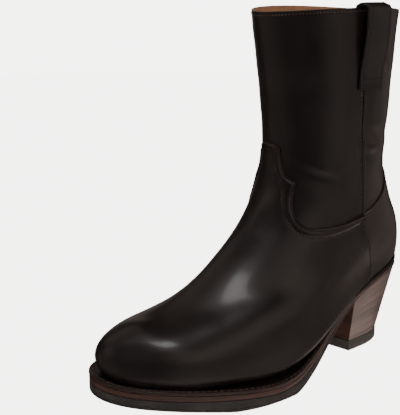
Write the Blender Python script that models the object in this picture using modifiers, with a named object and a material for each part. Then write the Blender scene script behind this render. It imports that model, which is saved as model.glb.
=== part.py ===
"""Left ankle boot on a stacked block heel: hollow leather upper, overlays, zip, pull strap, sole and heel.

The boot stands on its sole with the toe toward -Y and its outer side toward +X. Sizes are in millimetres
and become metres where a mesh is made. A station is a distance forward of the heel's back.
"""
import bmesh
import bpy
import numpy as np
from mathutils import Matrix

MM = 0.001
ASSEMBLY = "ankle_boot"

STATION_MID = 131.33
ACROSS_MID = 6.86

GAP = 0.3
OVERLAY_GAP = 0.5
RIM_GAP = 0.5
WALL = 2.0
OVERLAY = 1.2
RING_STEPS = 44
RISE_STEPS = 27
LOW_CROWD = 0.42
PLATE_STEPS = 30

# Lasted sections from the sole edge to the collar. toe and heel: station and height of the section's ends.
# mid: height of its sides. The widths are those of the ellipse that it follows at heel, waist, ball and toe.
# drift: how far its middle goes out with the sole.
SECTION_COLUMNS = ("toe", "toe_z", "heel", "heel_z", "mid_z", "heel_w", "waist_w", "ball_w", "toe_w", "drift")
SECTIONS = {
    "feather": (246.0, 17.7, 4.5, 61.4, 24.0, 48.0, 35.5, 41.0, 56.0, 1.0),
    "wall": (260.5, 24.0, 1.5, 74.0, 35.0, 49.0, 36.5, 48.5, 60.5, 1.0),
    "toe_box": (259.0, 44.0, 3.0, 88.5, 46.5, 49.0, 37.0, 37.0, 43.0, 1.0),
    "vamp": (211.5, 47.0, 14.0, 105.0, 64.5, 45.5, 36.5, 30.5, 32.0, 0.9),
    "low_instep": (163.0, 74.5, 23.5, 126.5, 94.0, 40.5, 36.0, 33.0, 30.0, 0.6),
    "instep": (124.0, 114.5, 29.5, 146.5, 126.5, 38.5, 38.0, 36.0, 33.0, 0.3),
    "ankle": (118.0, 157.5, 27.5, 171.5, 165.0, 41.0, 41.0, 41.0, 37.5, 0.1),
    "shaft": (125.5, 199.0, 23.0, 205.0, 202.5, 40.0, 42.0, 43.5, 37.0, 0.0),
    "collar": (133.0, 237.0, 15.5, 236.0, 243.0, 39.5, 41.0, 44.0, 33.0, 0.0),
}
WIDTH_PLACES = (0.0, 0.4, 0.7, 1.0)

# Sole: height of its upper side and its outward drift, by station.
SOLE_LINE = {"station": (8.0, 62.0, 108.0, 146.0, 184.0, 222.0, 262.0),
             "height": (61.0, 52.0, 34.5, 15.0, 13.0, 15.8, 19.0)}
SOLE_DRIFT = {"station": (0.0, 70.0, 118.0, 186.0, 262.0),
              "across": (-4.0, 2.5, 12.0, 12.0, 0.0)}
SOLE_HEEL = 2.5
SOLE_TOE = 262.0
OVERHANG = {"place": (0.0, 0.25, 0.4, 0.55, 0.7, 0.85, 1.0), "width": (1.0, 1.3, 2.6, 8.8, 15.0, 14.0, 11.5)}

# Layers of the sole, by station: the welt and rand, the midsole and the rubber outsole.
RAND = {"station": (0.0, 30.0, 72.0), "thick": (4.4, 3.6, 2.2)}
WELT = 2.2
MIDSOLE = {"station": (0.0, 70.0, 150.0, 262.0), "thick": (2.4, 2.6, 3.3, 3.3)}
RUBBER = {"station": (78.0, 104.0, 128.0, 150.0, 200.0, 222.0, 262.0), "thick": (2.4, 2.8, 5.0, 7.2, 7.1, 6.1, 5.6)}
TREAD_FLAT = (176.0, 198.0)
WELT_INSET = 1.2
INSOLE_INSET = 3.0
INSOLE = 3.4

# Heel block: seat and ground outlines.
BREAST_SEAT = 78.0
BREAST_LIFT = 71.0
LIFT_HALF = 23.5
LIFT_LENGTH = 51.0
LIFT_ROUND = 0.68
LIFT_ACROSS = 0.5
LIFT_TURN = np.radians(-7.0)
LIFT = 7.6

# Seams on the upper: angle round the section (0 heel, 90 outer side, 180 toe) and rise (0 sole, 1 collar).
VAMP_EDGE = {"angle": (72.0, 82.0, 98.0, 109.5, 122.0, 132.0, 140.0, 144.5, 147.0, 147.5, 155.0, 164.5, 168.5, 171.5,
                       177.0, 187.0),
             "rise": (0.480, 0.497, 0.525, 0.545, 0.568, 0.595, 0.628, 0.655, 0.685, 0.708, 0.720, 0.745, 0.770,
                      0.790, 0.801, 0.805)}
TONGUE_ANGLE = 187.0
COUNTER_TOP = {"angle": (69.8, 61.0, 54.5, 46.5, 40.5, 34.0, 25.0, 12.0, 0.0),
               "rise": (0.483, 0.471, 0.469, 0.471, 0.478, 0.495, 0.520, 0.543, 0.550)}
COUNTER_FRONT = {"rise": (0.0, 0.03, 0.115, 0.253, 0.365, 0.448, 0.483),
                 "angle": (58.5, 57.0, 55.5, 58.5, 62.5, 68.0, 69.8)}
SIDE_SEAM = {"rise": (0.48, 0.613, 0.745, 0.81, 0.897, 1.0),
             "angle": (71.0, 80.5, 91.5, 95.0, 96.5, 94.0)}
LOWEST_RISE = 0.02
PIPING_HALF = 1.3
PIPING_HIGH = 1.3

# Pull strap: its path from the sewn end up the outer side, over the collar and down inside. off: distance of
# its middle from the upper's outer side. lift: height above the collar.
STRAP_ANGLE = 90.0
STRAP_HALF = 11.5
STRAP_THICK = 2.0
STRAP_STEPS = 24
STRAP_PATH = {"rise": (0.893, 0.918, 0.945, 0.972, 1.0, 1.0, 1.0, 1.0, 1.0, 0.985, 0.950, 0.885),
              "lift": (0.0, 0.0, 0.0, 0.0, 0.0, 2.8, 4.4, 4.0, 1.6, 0.0, 0.0, 0.0),
              "off": (1.6, 1.6, 3.6, 6.0, 6.6, 5.4, 2.0, -2.0, -4.9, -5.2, -4.4, -3.7)}

# Zip on the inner side.
ZIP_LOW = 0.553
ZIP_HIGH = 0.992
CHAIN_HALF = 2.9
CHAIN = 0.9
FACING = 1.0
PATCH = 1.4
FACING_EDGES = (3.3, 9.0)
PATCH_HALF = 9.5
PATCH_RISE = (0.513, 0.549)
SLIDER_RISE = 0.972
SLIDER_SIZE = (6.4, 9.0, 2.6)
SLIDER_EDGE = 0.7
THONG_RADIUS = 0.9
THONG_DROP = 36.0
THONG_SWAY = 0.8
THONG_BULGE = 1.6
THONG_POINTS = 16

LEATHER = (0.012, 0.009, 0.008)
BROWN = (0.050, 0.024, 0.018)
STACK = (0.130, 0.080, 0.068)
RUBBER_BLACK = (0.020, 0.019, 0.018)
BRASS = (0.20, 0.15, 0.10)
TAN = (0.30, 0.15, 0.07)


def curve(table, key, value, at):
    """Natural cubic spline through a table's columns; straight beyond its ends."""
    knots = np.asarray(table[key], float)
    values = np.asarray(table[value], float)
    at = np.asarray(at, float)
    if knots[0] > knots[-1]:
        knots = knots[::-1]
        values = values[::-1]
    step = np.diff(knots)
    slope = np.diff(values) / step
    count = len(knots)
    system = np.eye(count)
    right = np.zeros(count)
    for i in range(1, count - 1):
        system[i, i - 1:i + 2] = step[i - 1], 2.0 * (step[i - 1] + step[i]), step[i]
        right[i] = 6.0 * (slope[i] - slope[i - 1])
    bend = np.linalg.solve(system, right)
    i = np.clip(np.searchsorted(knots, at) - 1, 0, count - 2)
    inner = np.clip(at, knots[0], knots[-1])
    after = inner - knots[i]
    rise = slope[i] - step[i] * (2.0 * bend[i] + bend[i + 1]) / 6.0
    result = values[i] + after * (rise + after * (bend[i] / 2.0 + after * (bend[i + 1] - bend[i]) / (6.0 * step[i])))
    first = slope[0] - step[0] * bend[1] / 6.0
    last = slope[-1] + step[-1] * bend[-2] / 6.0
    return result + first * np.minimum(at - knots[0], 0.0) + last * np.maximum(at - knots[-1], 0.0)


def straight(table, key, value, at):
    """Straight lines through a table's columns."""
    order = np.argsort(table[key])
    return np.interp(at, np.asarray(table[key])[order], np.asarray(table[value])[order])


def sole_stations():
    """Stations at which every layer of the sole has its corners."""
    angle = (np.arange(PLATE_STEPS) + 0.5) * np.pi / PLATE_STEPS
    return SOLE_HEEL + (SOLE_TOE - SOLE_HEEL) * (1.0 - np.cos(angle)) / 2.0


def faceted(line, station):
    """A line of the sole, straight between the common stations."""
    places = sole_stations()
    return np.interp(station, places, line(places))


def sole_top(station):
    """Height of the sole's upper side."""
    return faceted(lambda s: curve(SOLE_LINE, "station", "height", s), station)


def section(row, angle, wider=0.0):
    """One lasted section: an ellipse whose half-width follows a cubic through its four widths."""
    size = dict(zip(SECTION_COLUMNS, row))
    place = (1.0 - np.cos(angle)) / 2.0
    station = size["heel"] + (size["toe"] - size["heel"]) * place
    widths = [size[name] for name in ("heel_w", "waist_w", "ball_w", "toe_w")]
    cubic = np.linalg.solve(np.vander(WIDTH_PLACES, 4), widths)
    drift = size["drift"] * curve(SOLE_DRIFT, "station", "across", station) * (1.0 - place ** 4)
    across = np.sin(angle) * (np.polyval(cubic, place) + wider) + drift
    height = size["heel_z"] * (1.0 - place) ** 2 + 2.0 * size["mid_z"] * place * (1.0 - place)
    height = height + size["toe_z"] * place ** 2
    return np.stack([across - ACROSS_MID, STATION_MID - station, height], -1)


def to_station(points):
    """Station of points."""
    return STATION_MID - points[..., 1]


def blend(count, rise):
    """Weights of the sections at a rise: a clamped uniform cubic B-spline."""
    rise = np.clip(rise, 0.0, 1.0 - 1e-9)[..., None]
    knots = np.concatenate([np.zeros(3), np.linspace(0.0, 1.0, count - 2), np.ones(3)])
    weight = ((rise >= knots[:-1]) & (rise < knots[1:])).astype(float)
    for degree in range(1, 4):
        left = knots[degree:-1] - knots[:-degree - 1]
        right = knots[degree + 1:] - knots[1:-degree]
        up = (rise - knots[:-degree - 1]) / np.where(left > 0.0, left, 1.0) * (left > 0.0)
        down = (knots[degree + 1:] - rise) / np.where(right > 0.0, right, 1.0) * (right > 0.0)
        weight = up * weight[..., :-1] + down * weight[..., 1:]
    return weight


def last_form(angle, rise):
    """Point of the upper's outer side at an angle (radians) and a rise."""
    angle, rise = np.broadcast_arrays(np.asarray(angle, float), np.asarray(rise, float))
    rings = [section(row, angle) for row in SECTIONS.values()]
    rings[0] = rings[0].copy()
    rings[0][..., 2] = sole_top(to_station(rings[0])) + RIM_GAP
    weight = blend(len(rings), rise)
    return sum(weight[..., i, None] * ring for i, ring in enumerate(rings))


def round_length(angle, rise):
    """Millimetres along the section for a radian of angle."""
    step = 1e-3
    return np.linalg.norm(last_form(angle + step, rise) - last_form(angle - step, rise), axis=-1) / (2.0 * step)


def outward(angle, rise):
    """Unit normal of the upper, pointing out."""
    step = 1e-3
    angle, rise = np.broadcast_arrays(np.asarray(angle, float), np.asarray(rise, float))
    low = np.clip(rise - step, 0.0, 1.0)
    high = np.clip(rise + step, 0.0, 1.0)
    along = last_form(angle + step, rise) - last_form(angle - step, rise)
    up = last_form(angle, high) - last_form(angle, low)
    normal = np.cross(up, along)
    return normal / np.linalg.norm(normal, axis=-1, keepdims=True)


def off_form(angle, rise, distance):
    """Point at a distance off the upper's outer side."""
    return last_form(angle, rise) + np.asarray(distance)[..., None] * outward(angle, rise)


def beside(angle, rise, width):
    """Angle at a width in millimetres beside another angle."""
    return angle + width / round_length(angle, rise)


def finish(name, color, rough, metal=0.0):
    """A plain Principled material."""
    material = bpy.data.materials.new(name)
    material.use_nodes = True
    shader = material.node_tree.nodes["Principled BSDF"]
    shader.inputs["Base Color"].default_value = (*color, 1.0)
    shader.inputs["Roughness"].default_value = rough
    shader.inputs["Metallic"].default_value = metal
    return material


def mesh_object(name, vertices, faces, material):
    """An object of the assembly from millimetre points."""
    mesh = bpy.data.meshes.new(name)
    mesh.from_pydata((np.asarray(vertices) * MM).tolist(), [], faces)
    mesh.validate()
    mesh.materials.append(material)
    item = bpy.data.objects.new(name, mesh)
    bpy.data.collections[ASSEMBLY].objects.link(item)
    return item


def shell(name, outer, inner, material, wrap=False):
    """A solid between two grids of points that run alike; wrap joins the last column to the first."""
    rows, columns = outer.shape[:2]
    count = rows * columns
    faces = []
    spans = columns if wrap else columns - 1

    def spot(side, row, column):
        return side * count + row * columns + column % columns

    for row in range(rows - 1):
        for column in range(spans):
            quad = [(row, column), (row, column + 1), (row + 1, column + 1), (row + 1, column)]
            faces.append([spot(0, *corner) for corner in quad])
            faces.append([spot(1, *corner) for corner in reversed(quad)])
    for column in range(spans):
        for row, ends in ((0, (column + 1, column)), (rows - 1, (column, column + 1))):
            first, second = ends
            faces.append([spot(0, row, first), spot(0, row, second), spot(1, row, second), spot(1, row, first)])
    if not wrap:
        for row in range(rows - 1):
            for column, ends in ((0, (row, row + 1)), (columns - 1, (row + 1, row))):
                first, second = ends
                faces.append([spot(0, first, column), spot(0, second, column),
                              spot(1, second, column), spot(1, first, column)])
    points = np.concatenate([outer.reshape(-1, 3), inner.reshape(-1, 3)])
    item = mesh_object(name, points, faces, material)
    outward_faces(item)
    return item


def outward_faces(item):
    """Turn an object's faces out."""
    work = bmesh.new()
    work.from_mesh(item.data)
    bmesh.ops.recalc_face_normals(work, faces=work.faces)
    if work.calc_volume(signed=True) < 0.0:
        bmesh.ops.reverse_faces(work, faces=work.faces)
    work.to_mesh(item.data)
    work.free()


def crowded(count):
    """Shares from 0 to 1 that lie closer together near 0."""
    share = np.linspace(0.0, 1.0, count)
    return LOW_CROWD * share + (1.0 - LOW_CROWD) * share ** 2


def make_upper(material):
    """The hollow upper: the lasted form and its inner side, level at the collar and on the sole."""
    angle = np.arange(RING_STEPS) * 2.0 * np.pi / RING_STEPS
    rise = crowded(RISE_STEPS)[:, None]
    angle = angle[None, :] + 0.0 * rise
    rise = rise + 0.0 * angle
    outer = last_form(angle, rise)
    inner = off_form(angle, rise, -WALL * np.ones_like(rise))
    for row in (0, -1):
        level = outward(angle[row], rise[row])
        level[:, 2] = 0.0
        level = level / np.linalg.norm(level, axis=-1, keepdims=True)
        inner[row] = outer[row] - WALL * level
    inner[0, :, 2] = sole_top(to_station(inner[0])) + RIM_GAP
    return shell("upper", outer, inner, material, wrap=True)


def patch(edges, columns, rows):
    """Grid of angle and rise between four edges: low, high, first and last, each a function of 0 to 1."""
    across = np.linspace(0.0, 1.0, columns)
    up = crowded(rows)
    low, high, first, last = (np.stack(edge(run), -1) for edge, run in zip(edges, (across, across, up, up)))
    s = across[None, :, None]
    r = up[:, None, None]
    ruled = (1.0 - r) * low[None] + r * high[None] + (1.0 - s) * first[:, None] + s * last[:, None]
    corner = (1.0 - r) * ((1.0 - s) * low[0] + s * low[-1]) + r * ((1.0 - s) * high[0] + s * high[-1])
    grid = ruled - corner
    return np.radians(grid[..., 0]), grid[..., 1]


def overlay(name, angle, rise, material, thick=OVERLAY):
    """A leather piece laid on the upper."""
    low = OVERLAY_GAP + 0.0 * rise
    return shell(name, off_form(angle, rise, low + thick), off_form(angle, rise, low), material)


def vamp_edge(share):
    """The vamp's upper edge from the outer side over the tongue to the inner side."""
    angle = np.asarray(VAMP_EDGE["angle"])
    rise = np.asarray(VAMP_EDGE["rise"])
    lean = (angle - angle[0]) / (TONGUE_ANGLE - angle[0])
    mirrored = 360.0 - angle + 2.0 * (TONGUE_ANGLE - 180.0) * lean
    angle = np.concatenate([angle, mirrored[-2::-1]])
    rise = np.concatenate([rise, rise[-2::-1]])
    run = np.concatenate([[0.0], np.cumsum(np.hypot(np.diff(angle), 300.0 * np.diff(rise)))])
    return np.interp(share, run / run[-1], angle), np.interp(share, run / run[-1], rise)


def make_vamp(material):
    """The vamp with its scalloped tongue, from the sole edge to its seam."""
    def low(share):
        front = straight(COUNTER_FRONT, "rise", "angle", LOWEST_RISE) + 0.6
        return front + (360.0 - 2.0 * front) * share, LOWEST_RISE + 0.0 * share

    def side(share):
        top = VAMP_EDGE["rise"][0]
        rise = LOWEST_RISE + (top - LOWEST_RISE) * share
        angle = curve(COUNTER_FRONT, "rise", "angle", rise) + 0.6
        end = VAMP_EDGE["angle"][0]
        return angle + (end - curve(COUNTER_FRONT, "rise", "angle", top) - 0.6) * share ** 6, rise

    def far_side(share):
        angle, rise = side(share)
        return 360.0 - angle, rise

    angle, rise = patch((low, vamp_edge, side, far_side), 49, 16)
    return overlay("vamp", angle, rise, material)


def make_counter(material):
    """The heel counter, its top raised at the back."""
    def low(share):
        front = straight(COUNTER_FRONT, "rise", "angle", LOWEST_RISE)
        return front - 2.0 * front * share, LOWEST_RISE + 0.0 * share

    def high(share):
        front = COUNTER_TOP["angle"][0]
        angle = front - 2.0 * front * share
        return angle, straight(COUNTER_TOP, "angle", "rise", np.abs(angle))

    def side(share):
        rise = LOWEST_RISE + (COUNTER_TOP["rise"][0] - LOWEST_RISE) * share
        return curve(COUNTER_FRONT, "rise", "angle", rise), rise

    def far_side(share):
        angle, rise = side(share)
        return -angle, rise

    angle, rise = patch((low, high, side, far_side), 25, 10)
    return overlay("counter", angle, rise, material)


def make_piping(material):
    """The piped side seam from the strap down to the vamp."""
    rise = np.linspace(0.505, STRAP_PATH["rise"][0] - 0.012, 18)[:, None]
    middle = np.radians(curve(SIDE_SEAM, "rise", "angle", rise))
    width = np.linspace(-1.0, 1.0, 5)[None, :]
    angle = beside(middle + 0.0 * width, rise + 0.0 * width, PIPING_HALF * width)
    rise = rise + 0.0 * width
    low = OVERLAY_GAP + 0.0 * angle
    high = low + 0.25 + PIPING_HIGH * np.sqrt(1.0 - 0.9 * width ** 2) + 0.0 * rise
    return shell("side_seam_piping", off_form(angle, rise, high), off_form(angle, rise, low), material)


def make_strap(material):
    """The pull strap: sewn to the outer side, standing off toward the collar, over it and down inside."""
    stops = np.arange(len(STRAP_PATH["rise"]))
    at = np.linspace(0.0, stops[-1], STRAP_STEPS)
    rise, lift, off = (curve({"stop": stops, **STRAP_PATH}, "stop", name, at)[:, None] for name in STRAP_PATH)
    width = np.linspace(-1.0, 1.0, 5)[None, :] * STRAP_HALF
    rise = np.minimum(rise, 1.0) + 0.0 * width
    angle = beside(np.radians(STRAP_ANGLE) + 0.0 * rise, rise, width)
    middle = off_form(angle, rise, off + 0.0 * width)
    middle[..., 2] = middle[..., 2] + lift
    normal = np.cross(np.gradient(middle, axis=0), np.gradient(middle, axis=1))
    normal = normal / np.linalg.norm(normal, axis=-1, keepdims=True)
    return shell("pull_strap", middle + normal * STRAP_THICK / 2.0, middle - normal * STRAP_THICK / 2.0, material)


def zip_strip(name, edges, span, thick, material, rows):
    """A strip along the zip's line between two widths."""
    rise = np.linspace(*span, rows)[:, None]
    middle = 2.0 * np.pi - np.radians(curve(SIDE_SEAM, "rise", "angle", rise))
    width = np.linspace(*edges, 3)[None, :]
    angle = beside(middle + 0.0 * width, rise + 0.0 * width, width)
    return overlay(name, angle, rise + 0.0 * width, material, thick)


def make_zip(leather, chain, metal):
    """The zip's facing strips, chain and closing patch, then its slider and thong."""
    near, far = FACING_EDGES
    zip_strip("zip_facing_front", (-far, -near), (ZIP_LOW, ZIP_HIGH), FACING, leather, 16)
    zip_strip("zip_facing_back", (near, far), (ZIP_LOW, ZIP_HIGH), FACING, leather, 16)
    zip_strip("zip_chain", (-CHAIN_HALF, CHAIN_HALF), (ZIP_LOW, ZIP_HIGH), CHAIN, chain, 16)
    zip_strip("zip_patch", (-PATCH_HALF, PATCH_HALF), PATCH_RISE, PATCH, leather, 4)
    make_slider(metal)
    make_thong(leather)


def zip_place(rise, distance):
    """Place on the zip's line and its axes: across the zip, up along it and out."""
    angle = 2.0 * np.pi - np.radians(curve(SIDE_SEAM, "rise", "angle", rise))
    out = outward(angle, rise)
    side = np.cross([0.0, 0.0, 1.0], out)
    side = side / np.linalg.norm(side)
    return off_form(angle, rise, distance), side, np.cross(out, side), out


def make_slider(metal):
    """The zip's slider: a bevelled block on the chain."""
    wide, tall, deep = SLIDER_SIZE
    place, side, up, out = zip_place(SLIDER_RISE, OVERLAY_GAP + CHAIN + GAP + deep / 2.0)
    work = bmesh.new()
    bmesh.ops.create_cube(work, size=1.0, matrix=Matrix.Diagonal((wide * MM, tall * MM, deep * MM, 1.0)))
    mesh = bpy.data.meshes.new("zip_slider")
    work.to_mesh(mesh)
    work.free()
    mesh.materials.append(metal)
    item = bpy.data.objects.new("zip_slider", mesh)
    bpy.data.collections[ASSEMBLY].objects.link(item)
    item.matrix_world = Matrix.Translation(place * MM) @ Matrix(np.stack([side, up, out], 1).tolist()).to_4x4()
    bevel = item.modifiers.new("edges", "BEVEL")
    bevel.width = SLIDER_EDGE * MM
    bevel.segments = 2


def make_thong(leather):
    """The leather thong that hangs from the slider."""
    depth = OVERLAY_GAP + CHAIN + 2.0 * GAP + SLIDER_SIZE[2] + THONG_RADIUS
    top, side, _, out = zip_place(SLIDER_RISE, depth)
    share = np.linspace(0.0, 1.0, THONG_POINTS)[:, None]
    sway = THONG_SWAY * np.sin(3.0 * share) * side + THONG_BULGE * np.sin(np.pi * share) * out
    route = top + sway - THONG_DROP * share * np.array([0.0, 0.0, 1.0])
    line = bpy.data.curves.new("zip_thong", "CURVE")
    line.dimensions = "3D"
    line.bevel_depth = THONG_RADIUS * MM
    line.bevel_resolution = 2
    line.use_fill_caps = True
    spline = line.splines.new("POLY")
    spline.points.add(THONG_POINTS - 1)
    for point, place in zip(spline.points, route * MM):
        point.co = (*place, 1.0)
    line.materials.append(leather)
    bpy.data.collections[ASSEMBLY].objects.link(bpy.data.objects.new("zip_thong", line))


def angle_at(station, heel, toe):
    """Angle of a section's outer half at a station, from the section's two ends."""
    return np.arccos(1.0 - 2.0 * (np.asarray(station) - heel) / (toe - heel))


def edge_angle(station):
    """Angle of the sole's outline at a station of its outer half."""
    return angle_at(station, SOLE_HEEL, SOLE_TOE)


def stations_between(first, last):
    """The common stations between two others, with the two."""
    places = sole_stations()
    return np.concatenate([[first], places[(places > first + 1.0) & (places < last - 1.0)], [last]])


def drawn_in(inset, heel=SECTIONS["feather"][2], toe=SECTIONS["feather"][0]):
    """The upper's lower edge between two ends that are drawn in by an inset."""
    return (toe - inset, 0.0, heel + inset, *SECTIONS["feather"][3:])


def edge_row(angle, inset=0.0):
    """Points of the sole's outline drawn in by an inset, outer and inner side of each station."""
    row = drawn_in(inset, SOLE_HEEL, SOLE_TOE)
    wider = curve(OVERHANG, "place", "width", (1.0 - np.cos(angle)) / 2.0) - inset
    return np.stack([section(row, angle, wider), section(row, 2.0 * np.pi - angle, wider)], 1)


def feather_row(angle, inset=0.0):
    """Points of the upper's lower edge drawn in by an inset."""
    return section(drawn_in(inset), angle, -inset)


def at_height(points, height):
    """Points moved to a height worked out from their station."""
    moved = points.copy()
    moved[..., 2] = height(to_station(points))
    return moved


def welt_under(station):
    """Lower side of the welt and the rand."""
    def line(places):
        rand = straight(RAND, "station", "thick", places)
        return np.where(places < BREAST_SEAT, rand, WELT)

    return sole_top(station) - faceted(line, station)


def midsole_top(station):
    """Upper side of the midsole."""
    return welt_under(station) - GAP


def midsole_under(station):
    """Lower side of the midsole."""
    return midsole_top(station) - faceted(lambda s: straight(MIDSOLE, "station", "thick", s), station)


def outsole_top(station):
    """Upper side of the rubber outsole, and of the heel."""
    return midsole_under(station) - GAP


def tread(station):
    """Lower side of the rubber outsole: flat on the floor under the ball."""
    def line(places):
        under = outsole_top(places) - straight(RUBBER, "station", "thick", places)
        return np.maximum(under - lowest, 0.0)

    ends = np.asarray(TREAD_FLAT)
    lowest = np.max(outsole_top(ends) - straight(RUBBER, "station", "thick", ends))
    return faceted(line, station)


def plate(name, angle, top, under, material, inset=0.0, outline=edge_row):
    """A layer of the sole between two heights."""
    points = outline(angle, inset)
    return shell(name, at_height(points, top), at_height(points, under), material)


def strip(name, angle, under, material):
    """A strip of the welt or rand: from under the upper's edge out to the sole's edge."""
    outer = edge_row(angle)[:, 0]
    inner = feather_row(angle, WELT_INSET)
    points = np.stack([outer, inner], 1)
    return shell(name, at_height(points, sole_top), at_height(points, under), material)


def make_sole(brown, black, board):
    """Insole, welt, rand, midsole and outsole."""
    heel, toe = sole_stations()[[0, -1]]
    fore = edge_angle(stations_between(BREAST_SEAT + GAP, toe))
    strip("welt", np.concatenate([fore, 2.0 * np.pi - fore[::-1]]), welt_under, brown)
    seat = edge_angle(stations_between(heel, BREAST_SEAT))
    strip("heel_rand", np.concatenate([-seat[::-1], seat]), welt_under, black)
    plate("midsole", edge_angle(sole_stations()), midsole_top, midsole_under, brown)
    plate("outsole", fore, outsole_top, tread, black)
    board_toe, _, board_heel = drawn_in(INSOLE_INSET)[:3]
    places = stations_between(board_heel + 0.5, board_toe - 0.5)

    def board_row(station, inset):
        angle = angle_at(station, board_heel, board_toe)
        return np.stack([feather_row(angle, inset), feather_row(2.0 * np.pi - angle, inset)], 1)

    plate("insole", places, lambda s: midsole_top(s) + GAP + INSOLE, lambda s: midsole_top(s) + GAP, board,
          INSOLE_INSET, board_row)


def lift_row(share):
    """Outline of the top lift at shares from its back to its breast: outer and inner point."""
    turn = np.arccos(np.clip(1.0 - share / LIFT_ROUND, -1.0, 1.0))
    half = LIFT_HALF * np.where(share < LIFT_ROUND, np.sin(turn), 1.0)
    back = -LIFT_LENGTH * (1.0 - share)
    rows = []
    for side in (1.0, -1.0):
        across = LIFT_ACROSS + side * half * np.cos(LIFT_TURN) - back * np.sin(LIFT_TURN)
        station = BREAST_LIFT + side * half * np.sin(LIFT_TURN) + back * np.cos(LIFT_TURN)
        rows.append(np.stack([across - ACROSS_MID, STATION_MID - station, 0.0 * across], -1))
    return np.stack(rows, 1)


def make_heel(stack, black):
    """The stacked heel, drawn in from the seat to the ground, and its rubber top lift."""
    station = stations_between(sole_stations()[0], BREAST_SEAT)
    share = (station - SOLE_HEEL) / (BREAST_SEAT - SOLE_HEEL)
    ground = lift_row(share)
    up = np.array([0.0, 0.0, 1.0])
    shell("heel_top_lift", ground + up * LIFT, ground, black)
    top = at_height(edge_row(edge_angle(station), 0.6), outsole_top)
    shell("heel_stack", top, ground + up * (LIFT + GAP), stack)


def build():
    """Build the boot in an empty scene."""
    for item in list(bpy.data.objects):
        bpy.data.objects.remove(item, do_unlink=True)
    collection = bpy.data.collections.new(ASSEMBLY)
    bpy.context.scene.collection.children.link(collection)
    leather = finish("polished_leather", LEATHER, 0.3)
    piping = finish("piping_leather", LEATHER, 0.35)
    brown = finish("edge_leather", BROWN, 0.45)
    stack = finish("stacked_leather", STACK, 0.4)
    black = finish("rubber", RUBBER_BLACK, 0.6)
    tape = finish("zip_tape", RUBBER_BLACK, 0.7)
    metal = finish("slider_metal", BRASS, 0.35, 1.0)
    board = finish("insole_leather", TAN, 0.6)
    make_upper(leather)
    make_vamp(leather)
    make_counter(leather)
    make_piping(piping)
    make_strap(leather)
    make_zip(leather, tape, metal)
    make_sole(brown, black, board)
    make_heel(stack, black)


build()
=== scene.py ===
"""Looks of a left ankle boot: polished dark leather on a welted sole and a stacked leather heel.

Shapes are worked out in millimetres in the boot's own terms. An angle runs round the foot (0 heel, 90 outer
side, 180 toe, 270 inner side), a rise runs up the upper (0 at the sole, 1 at the collar), and a station is a
distance forward of the heel's back. Meshes are in metres, the toe toward -Y and the outer side toward +X.
"""
from __future__ import annotations

import logging
from dataclasses import dataclass, field
from enum import Enum

import bmesh
import bpy
import numpy as np
from bpy.types import Material, Node, NodeSocket, NodeTree, Object
from mathutils import Matrix, Vector

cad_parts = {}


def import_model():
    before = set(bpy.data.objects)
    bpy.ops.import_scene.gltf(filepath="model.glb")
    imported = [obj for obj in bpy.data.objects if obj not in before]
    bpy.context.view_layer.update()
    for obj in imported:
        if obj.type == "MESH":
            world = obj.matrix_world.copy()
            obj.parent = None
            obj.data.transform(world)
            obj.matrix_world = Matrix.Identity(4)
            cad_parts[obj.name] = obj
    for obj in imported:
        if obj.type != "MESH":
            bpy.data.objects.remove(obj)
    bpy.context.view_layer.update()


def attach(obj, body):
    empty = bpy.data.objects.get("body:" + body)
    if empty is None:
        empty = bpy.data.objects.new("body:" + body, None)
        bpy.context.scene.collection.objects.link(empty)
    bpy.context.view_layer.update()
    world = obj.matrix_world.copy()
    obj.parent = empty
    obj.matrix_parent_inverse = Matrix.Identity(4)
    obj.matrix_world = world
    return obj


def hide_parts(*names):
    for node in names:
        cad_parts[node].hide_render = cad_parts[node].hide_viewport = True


LOG = logging.getLogger("ankle_boot")
Array = np.ndarray
Pair = tuple[float, float]
Stops = tuple[float, ...]
Triple = tuple[float, float, float]
Bumps = tuple[tuple[NodeSocket, float], ...]
MM = 0.001
BODY = "root"
WELD = 1e-6  # Metres within which points are welded
BLOCK = 4096  # Points that are measured at a time
UP = np.array([0.0, 0.0, 1.0])
FULL = 2.0 * np.pi


class Slot(Enum):
    """Material slots of the record."""

    POLISHED = "polished_leather"
    PIPING = "piping_leather"
    EDGE = "edge_leather"
    STACK = "stacked_leather"
    RUBBER = "rubber"
    TAPE = "zip_tape"
    METAL = "slider_metal"
    INSOLE = "insole_leather"


def unit(vectors: Array) -> Array:
    """Vectors scaled to length 1."""
    return vectors / np.linalg.norm(vectors, axis=-1, keepdims=True)


def crowd(count: int, pull: float) -> Array:
    """Rising shares from 0 to 1 that crowd toward both ends by a pull: a hyperbolic tangent of even steps."""
    even = np.linspace(-1.0, 1.0, count)
    return 0.5 + 0.5 * np.tanh(pull * even) / np.tanh(pull)


def nearest(points: Array, line: Array) -> tuple[Array, Array]:
    """Distance from each point to the closest sample of a line, worked out in blocks.

    Args:
        points: Points of any grid shape, with x, y and z last.
        line: Samples of the line, one row each.

    Returns:
        The distances and the numbers of the closest samples, in the grid's shape.
    """
    flat = points.reshape(-1, 3)
    gap = np.empty(len(flat))
    index = np.empty(len(flat), int)
    for start in range(0, len(flat), BLOCK):
        block = flat[start:start + BLOCK]
        square = ((block[:, None, :] - line[None]) ** 2).sum(-1)
        best = square.argmin(1)
        index[start:start + BLOCK] = best
        gap[start:start + BLOCK] = np.sqrt(square[np.arange(len(block)), best])
    return gap.reshape(points.shape[:-1]), index.reshape(points.shape[:-1])


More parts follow.
